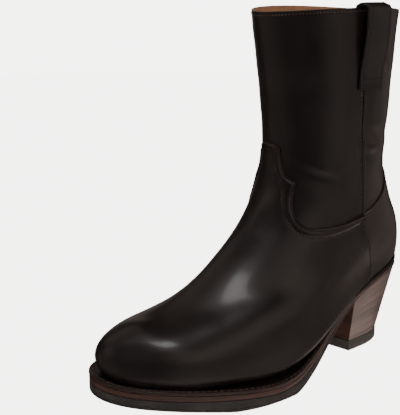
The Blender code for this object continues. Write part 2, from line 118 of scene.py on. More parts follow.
@dataclass(frozen=True)
class Track:
    """A value that changes along a line, known at a few places."""

    places: Stops  # Rising places along the line
    values: Stops  # Value at each place

    def smooth(self, at: Array | float) -> Array:
        """Natural cubic spline through the values, straight beyond the ends.

        Args:
            at: Places to work the value out for.

        Returns:
            The values there.
        """
        knots = np.asarray(self.places, float)
        values = np.asarray(self.values, float)
        at = np.asarray(at, float)
        step = np.diff(knots)
        slope = np.diff(values) / step
        count = len(knots)
        system = np.eye(count)
        right = np.zeros(count)
        for i in range(1, count - 1):
            system[i, i - 1:i + 2] = step[i - 1], 2.0 * (step[i - 1] + step[i]), step[i]
            right[i] = 6.0 * (slope[i] - slope[i - 1])
        bend = np.linalg.solve(system, right)
        i = np.clip(np.searchsorted(knots, at) - 1, 0, count - 2)
        after = np.clip(at, knots[0], knots[-1]) - knots[i]
        rise = slope[i] - step[i] * (2.0 * bend[i] + bend[i + 1]) / 6.0
        cubic = bend[i] / 2.0 + after * (bend[i + 1] - bend[i]) / (6.0 * step[i])
        first = slope[0] - step[0] * bend[1] / 6.0
        last = slope[-1] + step[-1] * bend[-2] / 6.0
        beyond = first * np.minimum(at - knots[0], 0.0) + last * np.maximum(at - knots[-1], 0.0)
        return values[i] + after * (rise + after * cubic) + beyond

    def straight(self, at: Array | float) -> Array:
        """Straight lines between the values."""
        return np.interp(at, self.places, self.values)


class Shape:
    """Grids of points gathered into one mesh.

    Each face joins a point to the next one in its row and to the row above. A closed direction joins back to
    its start, and points that meet are welded, so a row drawn together to a point or a line closes an end.
    """

    def __init__(self) -> None:
        """Start with no points."""
        self._points: list[Array] = []
        self._faces: list[Array] = []
        self._marks: list[Array] = []
        self._count = 0

    def add(self, points: Array, loop: bool = False, ring: bool = False, mark: Array | float = 0.0) -> None:
        """Add one grid, or many alike.

        Args:
            points: Millimetre points shaped (rows, columns, 3), or (copies, rows, columns, 3).
            loop: Join the last row to the first.
            ring: Join the last column to the first.
            mark: Value from 0 to 1 that the finish reads as the cut edge, on welt and heel as painted shade;
                for every point or for each.
        """
        copies, rows, columns = points.reshape(-1, *points.shape[-3:]).shape[:3]
        row, column = np.meshgrid(np.arange(rows if loop else rows - 1),
                                  np.arange(columns if ring else columns - 1), indexing="ij")
        next_row = (row + 1) % rows
        next_column = (column + 1) % columns
        quad = np.stack([row * columns + column, next_row * columns + column,
                         next_row * columns + next_column, row * columns + next_column], -1).reshape(-1, 4)
        shift = self._count + np.arange(copies) * rows * columns
        self._faces.append((quad[None] + shift[:, None, None]).reshape(-1, 4))
        self._points.append(points.reshape(-1, 3))
        self._marks.append(np.broadcast_to(mark, points.shape[:-1]).reshape(-1))
        self._count += copies * rows * columns

    def build(self, name: str, material: Material, sharp: float = 40.0) -> Object:
        """Make the object: welded, faces outward, smooth but for sharp edges.

        Args:
            name: Name of the piece.
            material: Its finish.
            sharp: Angle in degrees past which an edge stays sharp.

        Returns:
            The object, linked to the scene.
        """
        mesh = bpy.data.meshes.new(name)
        points, faces = np.concatenate(self._points) * MM, np.concatenate(self._faces)
        mesh.from_pydata(points.tolist(), [], faces.tolist())
        # The edge attribute holds the cut edge, and on the welt's upper side and the heel's breast it holds
        # painted shade.
        layer = mesh.attributes.new("edge", "FLOAT", "POINT")
        layer.data.foreach_set("value", np.concatenate(self._marks).astype(np.float32))
        work = bmesh.new()
        work.from_mesh(mesh)
        bmesh.ops.remove_doubles(work, verts=work.verts, dist=WELD)
        if work.calc_volume(signed=True) < 0.0:
            bmesh.ops.reverse_faces(work, faces=work.faces)
        work.to_mesh(mesh)
        work.free()
        mesh.polygons.foreach_set("use_smooth", np.ones(len(mesh.polygons), bool))
        mesh.set_sharp_from_angle(angle=np.radians(sharp))
        mesh.materials.append(material)
        item = bpy.data.objects.new(name, mesh)
        bpy.context.scene.collection.objects.link(item)
        return item


def settle(item: Object, slot: Slot, *nodes: str) -> Object:
    """Let a piece ride the boot and stand for its CAD nodes.

    Args:
        item: The piece.
        slot: Slot of the record; not used.
        nodes: CAD nodes that it replaces.

    Returns:
        The piece.
    """
    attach(item, BODY)
    if nodes:
        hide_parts(*nodes)
    faces = len(item.data.polygons) if item.type == "MESH" else 0
    LOG.info("%s: %d faces, stands for %s", item.name, faces, ", ".join(nodes) or "no node")
    return item


def lay(name: str, points: Array, material: Material, slot: Slot, *nodes: str, loop: bool = False,
        mark: Array | float = 0.0, sharp: float = 40.0) -> Object:
    """Make a piece from one grid whose columns close, and settle it.

    Args:
        name: Name of the piece.
        points: Its grid, or many alike.
        material: Its finish.
        slot: Slot of the record.
        nodes: CAD nodes that it replaces.
        loop: Whether its rows close too.
        mark: Value from 0 to 1 that the finish reads as the cut edge, on the welt and heel as painted shade.
        sharp: Angle in degrees past which an edge stays sharp.

    Returns:
        The piece.
    """
    shape = Shape()
    shape.add(points, loop=loop, ring=True, mark=mark)
    return settle(shape.build(name, material, sharp), slot, *nodes)


def bell(distance: Array, width: float) -> Array:
    """A bell curve: 1 on a line, about a third at the width."""
    return np.exp(-(distance / width) ** 2)


def quarter(gap: Array, roll: float) -> Array:
    """Share of the full height at a gap from an edge: a quarter circle as wide as the roll."""
    return np.sqrt(np.clip(1.0 - np.clip(1.0 - gap / roll, 0.0, 1.0) ** 2, 0.0, 1.0))


def cut_edge(gap: Array, start: float, width: float) -> Array:
    """Mark of a cut edge: it falls by 1 for each width of gap, from a start at the edge itself."""
    return np.clip(start - gap / width, 0.0, 1.0)


def run_of(path: Array) -> Array:
    """Length along a path to each of its points."""
    return np.concatenate([[0.0], np.cumsum(np.linalg.norm(np.diff(path, axis=0), axis=1))])


def capped(rings: Array) -> Array:
    """Rings with a row drawn to the middle at both ends, so that the tube they make is closed."""
    first = np.broadcast_to(rings[:1].mean(1, keepdims=True), rings[:1].shape)
    last = np.broadcast_to(rings[-1:].mean(1, keepdims=True), rings[-1:].shape)
    return np.concatenate([first, rings, last])


def two_sided(outer: Array, inner: Array) -> Array:
    """Rings that run over an outer grid's rows and back along an inner grid's, meeting at its borders."""
    return np.concatenate([outer, inner[:, ::-1]], 1)


def tube(path: Array, wide: Array | float, sides: int, thick: Array | float | None = None) -> Array:
    """Rings round a path: an ellipse square to the path at each of its points.

    Args:
        path: Points of the path.
        wide: Half-width of the ellipse, for all points or for each.
        sides: Points in a ring.
        thick: Half-thickness; the half-width if left out.

    Returns:
        The rings, one row for each point of the path.
    """
    along = unit(np.gradient(path, axis=0))
    lean = np.array([0.62, 0.21, 0.75])
    side = unit(np.cross(along, lean))
    over = np.cross(along, side)
    turn = np.arange(sides) * FULL / sides
    wide = np.broadcast_to(wide, len(path))[:, None, None]
    thick = wide if thick is None else np.broadcast_to(thick, len(path))[:, None, None]
    sideways = np.cos(turn)[None, :, None] * wide * side[:, None]
    return path[:, None] + sideways + np.sin(turn)[None, :, None] * thick * over[:, None]


def rounded_block(size: Array, power: float, rows: int, columns: int) -> Array:
    """A block with rounded edges: a ball whose sines and cosines are raised to a power.

    Args:
        size: Full width, height and depth.
        power: Below 1, squarer; 1 is an ellipsoid.
        rows: Rows from pole to pole.
        columns: Points in a row.

    Returns:
        Grid of points about the origin, with its poles on the third axis.
    """
    turn = np.arange(columns)[None, :] * FULL / columns
    climb = np.linspace(-np.pi / 2.0, np.pi / 2.0, rows)[:, None]

    def raised(value: Array) -> Array:
        """A sine or cosine raised to the power, its sign kept."""
        return np.sign(value) * np.abs(value) ** power

    flat = raised(np.cos(climb))
    ball = np.stack([flat * raised(np.cos(turn)), flat * raised(np.sin(turn)),
                     raised(np.sin(climb)) + 0.0 * turn], -1)
    return ball * np.asarray(size) / 2.0


@dataclass(frozen=True)
class Section:
    """One lasted section of the upper: an ellipse whose half-width follows a cubic through four widths."""

    toe: float  # Station of its front end
    toe_z: float  # Height there
    heel: float  # Station of its back end
    heel_z: float  # Height there
    mid_z: float  # Height that draws its sides
    widths: tuple[float, float, float, float]  # Half-widths that it follows at heel, waist, ball and toe
    drift: float = 0.0  # How far its middle goes out with the sole

    def ring(self, angle: Array, drift: Track, wider: Array | float = 0.0) -> Array:
        """Points of the section as station, width and height.

        Args:
            angle: Angles in radians.
            drift: Outward drift of the sole by station.
            wider: Added to the half-width.

        Returns:
            Points with x across, station and z last.
        """
        place = (1.0 - np.cos(angle)) / 2.0
        station = self.heel + (self.toe - self.heel) * place
        cubic = np.linalg.solve(np.vander((0.0, 0.4, 0.7, 1.0), 4), self.widths)
        middle = self.drift * drift.smooth(station) * (1.0 - place ** 4)
        across = np.sin(angle) * (np.polyval(cubic, place) + wider) + middle
        ends = self.heel_z * (1.0 - place) ** 2 + self.toe_z * place ** 2
        height = ends + 2.0 * self.mid_z * place * (1.0 - place)
        return np.stack([across, station, height], -1)


@dataclass(frozen=True)
class SoleShape:
    """Outline of the sole and the heights of its layers, by station."""

    heel: float = 2.5  # Station of the outline's back
    toe: float = 262.0  # Station of its front
    gap: float = 0.3  # Gap between two layers
    breast: float = 78.0  # Station of the heel's breast
    # Height of the sole's upper side
    line: Track = Track((8.0, 62.0, 108.0, 146.0, 184.0, 222.0, 262.0),
                        (61.0, 52.0, 34.5, 15.0, 13.0, 15.8, 19.0))
    # How far the sole's middle goes out
    drift: Track = Track((0.0, 70.0, 118.0, 186.0, 262.0), (-4.0, 2.5, 12.0, 12.0, 0.0))
    # How far it stands out past the upper, by share of its length
    overhang: Track = Track((0.0, 0.25, 0.4, 0.55, 0.7, 0.85, 1.0), (1.0, 1.3, 2.6, 8.8, 15.0, 14.0, 11.5))
    rand: Track = Track((0.0, 30.0, 72.0), (4.4, 3.6, 2.2))  # Thickness of the rand
    welt: float = 2.2  # Thickness of the welt
    midsole: Track = Track((0.0, 70.0, 150.0, 262.0), (2.4, 2.6, 3.3, 3.3))  # Thickness of the midsole
    # Thickness of the rubber outsole
    rubber: Track = Track((78.0, 104.0, 128.0, 150.0, 200.0, 222.0, 262.0),
                          (2.4, 2.8, 5.0, 7.2, 7.1, 6.1, 5.6))
    flat: Pair = (176.0, 198.0)  # Stations between which the tread lies on the floor
    step: Pair = (72.0, 84.0)  # Stations between which the rand gives way to the welt

    def top(self, station: Array) -> Array:
        """Height of the sole's upper side."""
        return self.line.smooth(station)

    def welt_under(self, station: Array) -> Array:
        """Lower side of the rand and, forward of the breast, of the welt."""
        share = np.clip((station - self.step[0]) / (self.step[1] - self.step[0]), 0.0, 1.0)
        return self.top(station) - self.rand.straight(station) * (1.0 - share) - self.welt * share

    def midsole_top(self, station: Array) -> Array:
        """Upper side of the midsole."""
        return self.welt_under(station) - self.gap

    def midsole_under(self, station: Array) -> Array:
        """Lower side of the midsole."""
        return self.midsole_top(station) - self.midsole.straight(station)

    def outsole_top(self, station: Array) -> Array:
        """Upper side of the rubber outsole and of the heel."""
        return self.midsole_under(station) - self.gap

    def tread(self, station: Array) -> Array:
        """Lower side of the rubber outsole, flat on the floor under the ball."""
        ends = np.asarray(self.flat)
        lowest = np.max(self.outsole_top(ends) - self.rubber.smooth(ends))
        return np.maximum(self.outsole_top(station) - self.rubber.smooth(station) - lowest, 0.0)

    def angle(self, station: Array | float) -> Array:
        """Angle of the outline's outer half at a station."""
        return np.arccos(1.0 - 2.0 * (np.asarray(station) - self.heel) / (self.toe - self.heel))


@dataclass(frozen=True)
class Crease:
    """A soft trough or ridge in the leather, along a given line."""

    angles: Stops  # Angles of the line's stops, in degrees
    rises: Stops  # Rises of the stops
    width: float  # Distance from the line at which its height has fallen to about a third, in millimetres
    height: float  # Height of the ridge; below 0, depth of the trough


CREASES = (
    # Shaft: a fold with the hollow below it, running back and down from the shin.
    Crease((170.0, 145.0, 122.0, 104.0), (0.785, 0.760, 0.725, 0.700), 4.5, 1.3),
    Crease((170.0, 145.0, 122.0, 108.0), (0.752, 0.726, 0.698, 0.680), 6.0, -1.1),
    # Ankle: a hollow and a fold across the back.
    Crease((106.0, 80.0, 52.0, 28.0), (0.812, 0.785, 0.758, 0.742), 5.0, -1.3),
    Crease((102.0, 78.0, 42.0), (0.776, 0.748, 0.712), 5.0, 1.1),
    # Instep: the tongue's low ridge and the dip beside it.
    Crease((180.0, 178.0, 174.0, 168.0), (0.700, 0.640, 0.570, 0.510), 5.0, 0.6),
    Crease((166.0, 162.0, 158.0), (0.660, 0.610, 0.560), 6.0, -0.6),
    # Toe box: its shoulder, the dip before it, the ridge that runs down to the side, and the ball.
    Crease((222.0, 190.0, 170.0, 154.0), (0.235, 0.255, 0.254, 0.238), 9.5, 1.8),
    Crease((190.0, 172.0, 155.0, 138.0), (0.070, 0.125, 0.143, 0.115), 9.0, -2.0),
    Crease((162.0, 145.0, 132.0, 120.0), (0.155, 0.128, 0.075, 0.005), 11.0, 1.5),
    Crease((130.0, 115.0, 98.0), (0.262, 0.252, 0.232), 13.0, 0.8),
    # Lasted wall: it swells out over the welt.
    Crease((225.0, 125.0, 25.0), (0.045, 0.040, 0.050), 9.0, 2.0),
    Crease((235.0, 135.0, 35.0), (0.012, 0.012, 0.012), 6.5, 3.2),
    # Behind the pull strap: wrinkles where it pulls on the shaft.
    Crease((77.0, 73.0, 63.0, 48.0), (0.950, 0.938, 0.922, 0.905), 2.6, -0.8),
    Crease((70.0, 62.0, 50.0), (0.952, 0.940, 0.926), 3.0, 0.5),
)


@dataclass
class LastForm:
    """The upper's outer side as the last gives it, with the creases of wear.

    A point is a blend of the lasted sections: a clamped uniform cubic B-spline in the rise.
    """

    sole: SoleShape = SoleShape()  # The sole's lines
    # Lasted sections from the feather edge up to the collar
    sections: tuple[Section, ...] = (
        Section(246.0, 17.7, 4.5, 61.4, 24.0, (48.0, 35.5, 41.0, 56.0), 1.0),
        Section(260.5, 24.0, 1.5, 74.0, 35.0, (49.0, 36.5, 48.5, 60.5), 1.0),
        Section(259.0, 44.0, 3.0, 88.5, 46.5, (49.0, 37.0, 37.0, 43.0), 1.0),
        Section(211.5, 47.0, 14.0, 105.0, 64.5, (45.5, 36.5, 30.5, 32.0), 0.9),
        Section(163.0, 74.5, 23.5, 126.5, 94.0, (40.5, 36.0, 33.0, 30.0), 0.6),
        Section(124.0, 114.5, 29.5, 146.5, 126.5, (38.5, 38.0, 36.0, 33.0), 0.3),
        Section(118.0, 157.5, 27.5, 171.5, 165.0, (41.0, 41.0, 41.0, 37.5), 0.1),
        Section(125.5, 199.0, 23.0, 205.0, 202.5, (40.0, 42.0, 43.5, 37.0)),
        Section(133.0, 237.0, 15.5, 236.0, 243.0, (39.5, 41.0, 44.0, 33.0)),
    )
    creases: tuple[Crease, ...] = CREASES  # Creases of wear
    station_mid: float = 131.33  # Station of the frame's origin
    across_mid: float = 6.86  # Its distance from the sole's axis
    rim_gap: float = 0.5  # Gap between the upper's lower edge and the sole
    small: float = 1e-3  # Step for slopes
    crease_steps: int = 120  # Samples along a crease
    sway: Pair = (0.16, 46.0)  # Depth and length of the leather's slight waves
    _lines: list[Array] = field(default_factory=list)  # Points along each crease

    def __post_init__(self) -> None:
        """Work out where each crease runs in space."""
        for crease in self.creases:
            stops = tuple(range(len(crease.angles)))
            at = np.linspace(0.0, stops[-1], self.crease_steps)
            angle = np.radians(Track(stops, crease.angles).smooth(at))
            self._lines.append(self.point(angle, Track(stops, crease.rises).smooth(at)))

    def world(self, points: Array) -> Array:
        """Points of across, station and height as millimetres in the scene's frame."""
        across, station, height = np.moveaxis(points, -1, 0)
        return np.stack([across - self.across_mid, self.station_mid - station, height], -1)

    def station(self, points: Array) -> Array:
        """Station of points in the scene's frame."""
        return self.station_mid - points[..., 1]

    def weights(self, rise: Array) -> Array:
        """Share of each section at a rise, by the recursion of the B-spline's degrees."""
        rise = np.clip(rise, 0.0, 1.0 - 1e-9)[..., None]
        knots = np.concatenate([np.zeros(3), np.linspace(0.0, 1.0, len(self.sections) - 2), np.ones(3)])
        weight = ((rise >= knots[:-1]) & (rise < knots[1:])).astype(float)
        for degree in range(1, 4):
            left = knots[degree:-1] - knots[:-degree - 1]
            right = knots[degree + 1:] - knots[1:-degree]
            up = (rise - knots[:-degree - 1]) / np.where(left > 0.0, left, 1.0) * (left > 0.0)
            down = (knots[degree + 1:] - rise) / np.where(right > 0.0, right, 1.0) * (right > 0.0)
            weight = up * weight[..., :-1] + down * weight[..., 1:]
        return weight

    def point(self, angle: Array, rise: Array) -> Array:
        """Millimetre points of the form, in the scene's frame, at angles in radians and rises."""
        angle, rise = np.broadcast_arrays(np.asarray(angle, float), np.asarray(rise, float))
        rings = [section.ring(angle, self.sole.drift) for section in self.sections]
        rings[0][..., 2] = self.sole.top(rings[0][..., 1]) + self.rim_gap
        weight = self.weights(rise)
        return self.world(sum(weight[..., i, None] * ring for i, ring in enumerate(rings)))

    def slopes(self, angle: Array, rise: Array) -> tuple[Array, Array]:
        """Change of the point for a radian of angle and for a full rise."""
        angle, rise = np.broadcast_arrays(np.asarray(angle, float), np.asarray(rise, float))
        step = self.small
        low, high = np.clip(rise - step, 0.0, 1.0), np.clip(rise + step, 0.0, 1.0)
        along = (self.point(angle + step, rise) - self.point(angle - step, rise)) / (2.0 * step)
        return along, (self.point(angle, high) - self.point(angle, low)) / (high - low)[..., None]

    def normal(self, angle: Array, rise: Array) -> Array:
        """Unit normal of the form, pointing out."""
        along, up = self.slopes(angle, rise)
        return unit(np.cross(up, along))

    def relief(self, points: Array) -> Array:
        """Height of the creases at points: bell curves across lines, faded at the ends, and slight waves."""
        total = np.zeros(points.shape[:-1])
        for crease, line in zip(self.creases, self._lines):
            gap, index = nearest(points, line)
            fade = np.sin(np.pi * (index + 0.5) / len(line)) ** 1.5
            total += crease.height * fade * bell(gap, crease.width)
        depth, length = self.sway
        x, y, z = np.moveaxis(points / length * FULL, -1, 0)
        return total + depth * np.sin(x + 1.3 * z) * np.sin(0.7 * y - 0.5 * z)

    def off(self, angle: Array, rise: Array, distance: Array | float) -> Array:
        """Point at a distance off the creased form, along its normal."""
        points = self.point(angle, rise)
        height = np.asarray(distance) + self.relief(points)
        return points + height[..., None] * self.normal(angle, rise)

    def slab(self, angle: Array, rise: Array, face: Array, under: float) -> Array:
        """Rings of a piece that lies on the form, between its face and an even underside."""
        return two_sided(self.off(angle, rise, face), self.off(angle, rise, np.full_like(face, under)))

    def row(self, angle: Array, rise: Array, height: float) -> tuple[Array, Array]:
        """Path of a stitch row at a height over the form, and its outward directions."""
        return self.off(angle, rise, height), self.normal(angle, rise)

    def beside(self, angle: Array, rise: Array, width: Array) -> Array:
        """Angle at a width in millimetres beside another angle of the same rise."""
        return angle + width / np.linalg.norm(self.slopes(angle, rise)[0], axis=-1)

    def inset(self, angle: Array, rise: Array, width: float) -> tuple[Array, Array]:
        """A line at a width beside another: each point steps sideways in the surface's two directions.

        Args:
            angle: Angles of the line's samples.
            rise: Their rises.
            width: Millimetres to the left of the line, seen from outside; below 0, to its right.

        Returns:
            Angles and rises of the new line, without the loops that a corner would leave.
        """
        points = self.point(angle, rise)
        along, up = self.slopes(angle, rise)
        move = width * unit(np.cross(self.normal(angle, rise), unit(np.gradient(points, axis=0))))
        aa, au, uu = ((a * b).sum(-1) for a, b in ((along, along), (along, up), (up, up)))
        am, um = (along * move).sum(-1), (up * move).sum(-1)
        size = aa * uu - au ** 2
        new_angle = angle + (uu * am - au * um) / size
        new_rise = rise + (aa * um - au * am) / size
        keep = nearest(self.point(new_angle, new_rise), points)[0] > 0.95 * abs(width)
        return new_angle[keep], new_rise[keep]

    def outline(self, angle: Array, ends: Pair, inset: Array | float, wider: Array | float) -> Array:
        """The lowest section's outline between two ends at height 0, drawn in by an inset and made wider."""
        heel, toe = ends
        ring = Section(toe - inset, 0.0, heel + inset, 0.0, 0.0, self.sections[0].widths, 1.0)
        return self.world(ring.ring(angle, self.sole.drift, wider - inset) * np.array([1.0, 1.0, 0.0]))

    def edge(self, angle: Array, inset: Array | float = 0.0) -> Array:
        """The sole's outline drawn in by an inset, at height 0."""
        wider = self.sole.overhang.smooth((1.0 - np.cos(angle)) / 2.0)
        return self.outline(angle, (self.sole.heel, self.sole.toe), inset, wider)

    def feather(self, angle: Array, inset: float = 0.0) -> Array:
        """The upper's lower edge drawn in by an inset, at height 0."""
        lowest = self.sections[0]
        return self.outline(angle, (lowest.heel, lowest.toe), inset, 0.0)


@dataclass(frozen=True)
class Seam:
    """A line on the upper through stops of angle and rise, smooth but for its corners."""

    angles: Stops  # Angles of the stops, in degrees
    rises: Stops  # Rises of the stops
    corners: tuple[int, ...] = ()  # Numbers of the stops at which the line turns sharply

    def run(self) -> Array:
        """Length along the line to each stop, with a full rise as long as 300 degrees."""
        step = np.hypot(np.diff(self.angles), 300.0 * np.diff(self.rises))
        return np.concatenate([[0.0], np.cumsum(step)])

    def at(self, share: Array) -> tuple[Array, Array]:
        """Angle in radians and rise at shares of the line: a spline between each two corners.

        Args:
            share: Shares from 0 to 1.

        Returns:
            Angles and rises.
        """
        run = self.run() / self.run()[-1]
        share = np.asarray(share, float)
        angle = np.zeros_like(share)
        rise = np.zeros_like(share)
        ends = (0, *self.corners, len(run) - 1)
        for first, last in zip(ends[:-1], ends[1:]):
            part = slice(first, last + 1)
            inside = (share >= run[first]) & (share <= run[last])
            angle[inside] = Track(tuple(run[part]), self.angles[part]).smooth(share[inside])
            rise[inside] = Track(tuple(run[part]), self.rises[part]).smooth(share[inside])
        return np.radians(angle), rise

    def corner_shares(self) -> Array:
        """Shares of the line at which its corners lie."""
        return self.run()[list(self.corners)] / self.run()[-1]

    def mirrored(self, middle: float = 180.0) -> Seam:
        """The same line on the other side of the foot."""
        return Seam(tuple(2.0 * middle - a for a in self.angles), self.rises, self.corners)


@dataclass(frozen=True)
class Stitching:
    """A row of thread stitches: each one a bead that rises from one hole and sinks in the next."""

    pitch: float = 2.2  # Distance from stitch to stitch
    length: float = 1.25  # Length of the thread that shows
    half: float = 0.42  # Half the thread's thickness
    arch: float = 0.4  # Height of its middle over its ends
    aim: float = 0.4  # Distance to both sides over which it takes its direction
    sides: int = 6  # Sides of its tube

    def bead(self) -> Array:
        """One stitch on the axes along, beside and out: a tube that tapers as a half ellipse."""
        reach = np.array([-1.0, -0.86, -0.4, 0.4, 0.86, 1.0])[:, None]
        round_it = np.sqrt(np.clip(1.0 - reach ** 4, 0.0, 1.0)) * self.half
        turn = np.arange(self.sides)[None, :] * FULL / self.sides
        out = self.arch * (1.0 - reach ** 2) - 0.5 * self.half
        return np.stack([reach * self.length / 2.0 + 0.0 * turn, round_it * np.cos(turn),
                         out + round_it * np.sin(turn)], -1)

    def row(self, shape: Shape, path: Array, out: Array) -> None:
        """Lay stitches along a path.

        Args:
            shape: Shape that takes them.
            path: Samples of the path, in order.
            out: Outward direction at each sample.
        """
        run = run_of(path)
        count = max(int(run[-1] / self.pitch), 1)
        at = (np.arange(count) + 0.5) * run[-1] / count

        def sample(values: Array, where: Array) -> Array:
            """Values of the path's samples at lengths along it."""
            return np.stack([np.interp(where, run, values[:, i]) for i in range(3)], -1)

        along = unit(sample(path, at + self.aim) - sample(path, at - self.aim))
        side = unit(np.cross(unit(sample(out, at)), along))
        axes = np.stack([along, side, np.cross(along, side)], 1)
        beads = np.einsum("ijk,nkl->nijl", self.bead(), axes) + sample(path, at)[:, None, None]
        shape.add(beads, ring=True)

    def sew(self, name: str, rows: list[tuple[Array, Array]], material: Material) -> None:
        """Make a piece of stitch rows.

        Args:
            name: Name of the piece.
            rows: Path of each row and the outward directions along it.
            material: Its thread.
        """
        shape = Shape()
        for path, out in rows:
            self.row(shape, path, out)
        settle(shape.build(name, material), Slot.PIPING)


def linear(code: str) -> tuple[float, float, float, float]:
    """Linear red, green, blue and alpha of an sRGB hex code."""
    value = np.array([int(code[i:i + 2], 16) for i in (1, 3, 5)]) / 255.0
    bright = ((value + 0.055) / 1.055) ** 2.4
    return (*np.where(value <= 0.04045, value / 12.92, bright).tolist(), 1.0)


def per_mm(size: float) -> float:
    """Pattern scale on Object coordinates for features of a size in millimetres."""
    return 1.0 / (size * MM)


def add_node(tree: NodeTree, kind: str, settings: dict | None = None, links: dict | None = None,
             out: str | int = 0, **options: object) -> NodeSocket:
    """Add a shader node with its settings and links.

    Args:
        tree: Node tree of the material.
        kind: Type of node.
        settings: Values of its inputs, by name or number.
        links: Outputs that feed its inputs, by name or number.
        out: The output that is used, by name or number.
        options: Its own properties.

    Returns:
        That output.
    """
    node = tree.nodes.new(f"ShaderNode{kind}")
    for name, value in options.items():
        setattr(node, name, value)
    for name, value in (settings or {}).items():
        node.inputs[name].default_value = value
    for name, source in (links or {}).items():
        tree.links.new(source, node.inputs[name])
    return node.outputs[out]


@dataclass(frozen=True)
class Finish:
    """A surface finish."""

    name: str  # Name of the real material and how its surface is made
    rough: Pair = (0.4, 0.5)  # Roughness where the surface is smoothest and where it is dullest
    coat: float = 0.0  # Weight of the polish over it
    coat_rough: float = 0.1  # Roughness of the polish
    ior: float = 1.5  # Index of refraction
    metal: float = 0.0  # Metallic value

    def start(self) -> tuple[Material, NodeTree, Node, NodeSocket]:
        """Begin the material: itself, its tree, its shader and the Object coordinates."""
        material = bpy.data.materials.new(self.name)
        material.use_nodes = True
        tree = material.node_tree
        shader = tree.nodes["Principled BSDF"]
        for socket, value in (("Metallic", self.metal), ("IOR", self.ior), ("Coat Weight", self.coat),
                              ("Coat Roughness", self.coat_rough)):
            shader.inputs[socket].default_value = value
        return material, tree, shader, add_node(tree, "TexCoord", out="Object")

    def pattern(self, tree: NodeTree, place: NodeSocket) -> tuple[NodeSocket, NodeSocket, Bumps]:
        """Draw the surface.

        Args:
            tree: Node tree of the material.
            place: Object coordinates.

        Returns:
            Its colour, a value from 0 where it is smoothest to 1 where it is dullest, and its bumps: height
            patterns, each with its depth in millimetres.
        """
        raise NotImplementedError

    def make(self) -> Material:
        """Make the material and join its pattern to the shader."""
        material, tree, shader, place = self.start()
        color, dull, bumps = self.pattern(tree, place)
        low, high = self.rough
        normal = {}
        for height, depth in bumps:
            bump = add_node(tree, "Bump", {"Distance": depth * MM}, {"Height": height, **normal})
            normal = {"Normal": bump}
        rough = add_node(tree, "MapRange", {"To Min": low, "To Max": high}, {"Value": dull})
        for name, source in {"Base Color": color, "Roughness": rough, **normal}.items():
            tree.links.new(source, shader.inputs[name])
        return material


@dataclass(frozen=True)
class Leather(Finish):
    """Dyed leather: a cloudy dye, fine pores, soft unevenness, and the brown core where it is cut."""

    deep: str = "#090605"  # Colour where the dye is full
    thin: str = "#130c0a"  # Colour where it is thinner
    raw: str = "#1c0f0b"  # Colour of the cut edge
    cloud: float = 34.0  # Size of the dye's clouds in millimetres
    pore: float = 0.9  # Size of the grain in millimetres, drawn coarser than real pores so that it shows
    pore_depth: float = 0.012  # Depth of the grain
    uneven: Pair = (11.0, 0.05)  # Size and depth of the soft unevenness

    def pattern(self, tree: NodeTree, place: NodeSocket) -> tuple[NodeSocket, NodeSocket, Bumps]:
        """Clouds of dye, pores over a soft unevenness, and the brown core where the edge is marked."""
        size, deep = self.uneven
        cloud = add_node(tree, "TexNoise", {"Scale": per_mm(self.cloud), "Detail": 4.0}, {"Vector": place})
        pore = add_node(tree, "TexVoronoi", {"Scale": per_mm(self.pore), "Randomness": 0.9},
                        {"Vector": place})
        soft = add_node(tree, "TexNoise", {"Scale": per_mm(size), "Detail": 2.0}, {"Vector": place})
        spread = add_node(tree, "MapRange", {"From Min": 0.3, "From Max": 0.7}, {"Value": cloud})
        dye = add_node(tree, "Mix", {6: linear(self.deep), 7: linear(self.thin)}, {0: spread}, 2,
                       data_type="RGBA")
        cut = add_node(tree, "Attribute", out="Fac", attribute_name="edge")
        color = add_node(tree, "Mix", {7: linear(self.raw)}, {0: cut, 6: dye}, 2, data_type="RGBA")
        dull = add_node(tree, "Math", {}, {0: spread, 1: cut}, operation="MAXIMUM")
        return color, dull, ((soft, deep), (pore, self.pore_depth))


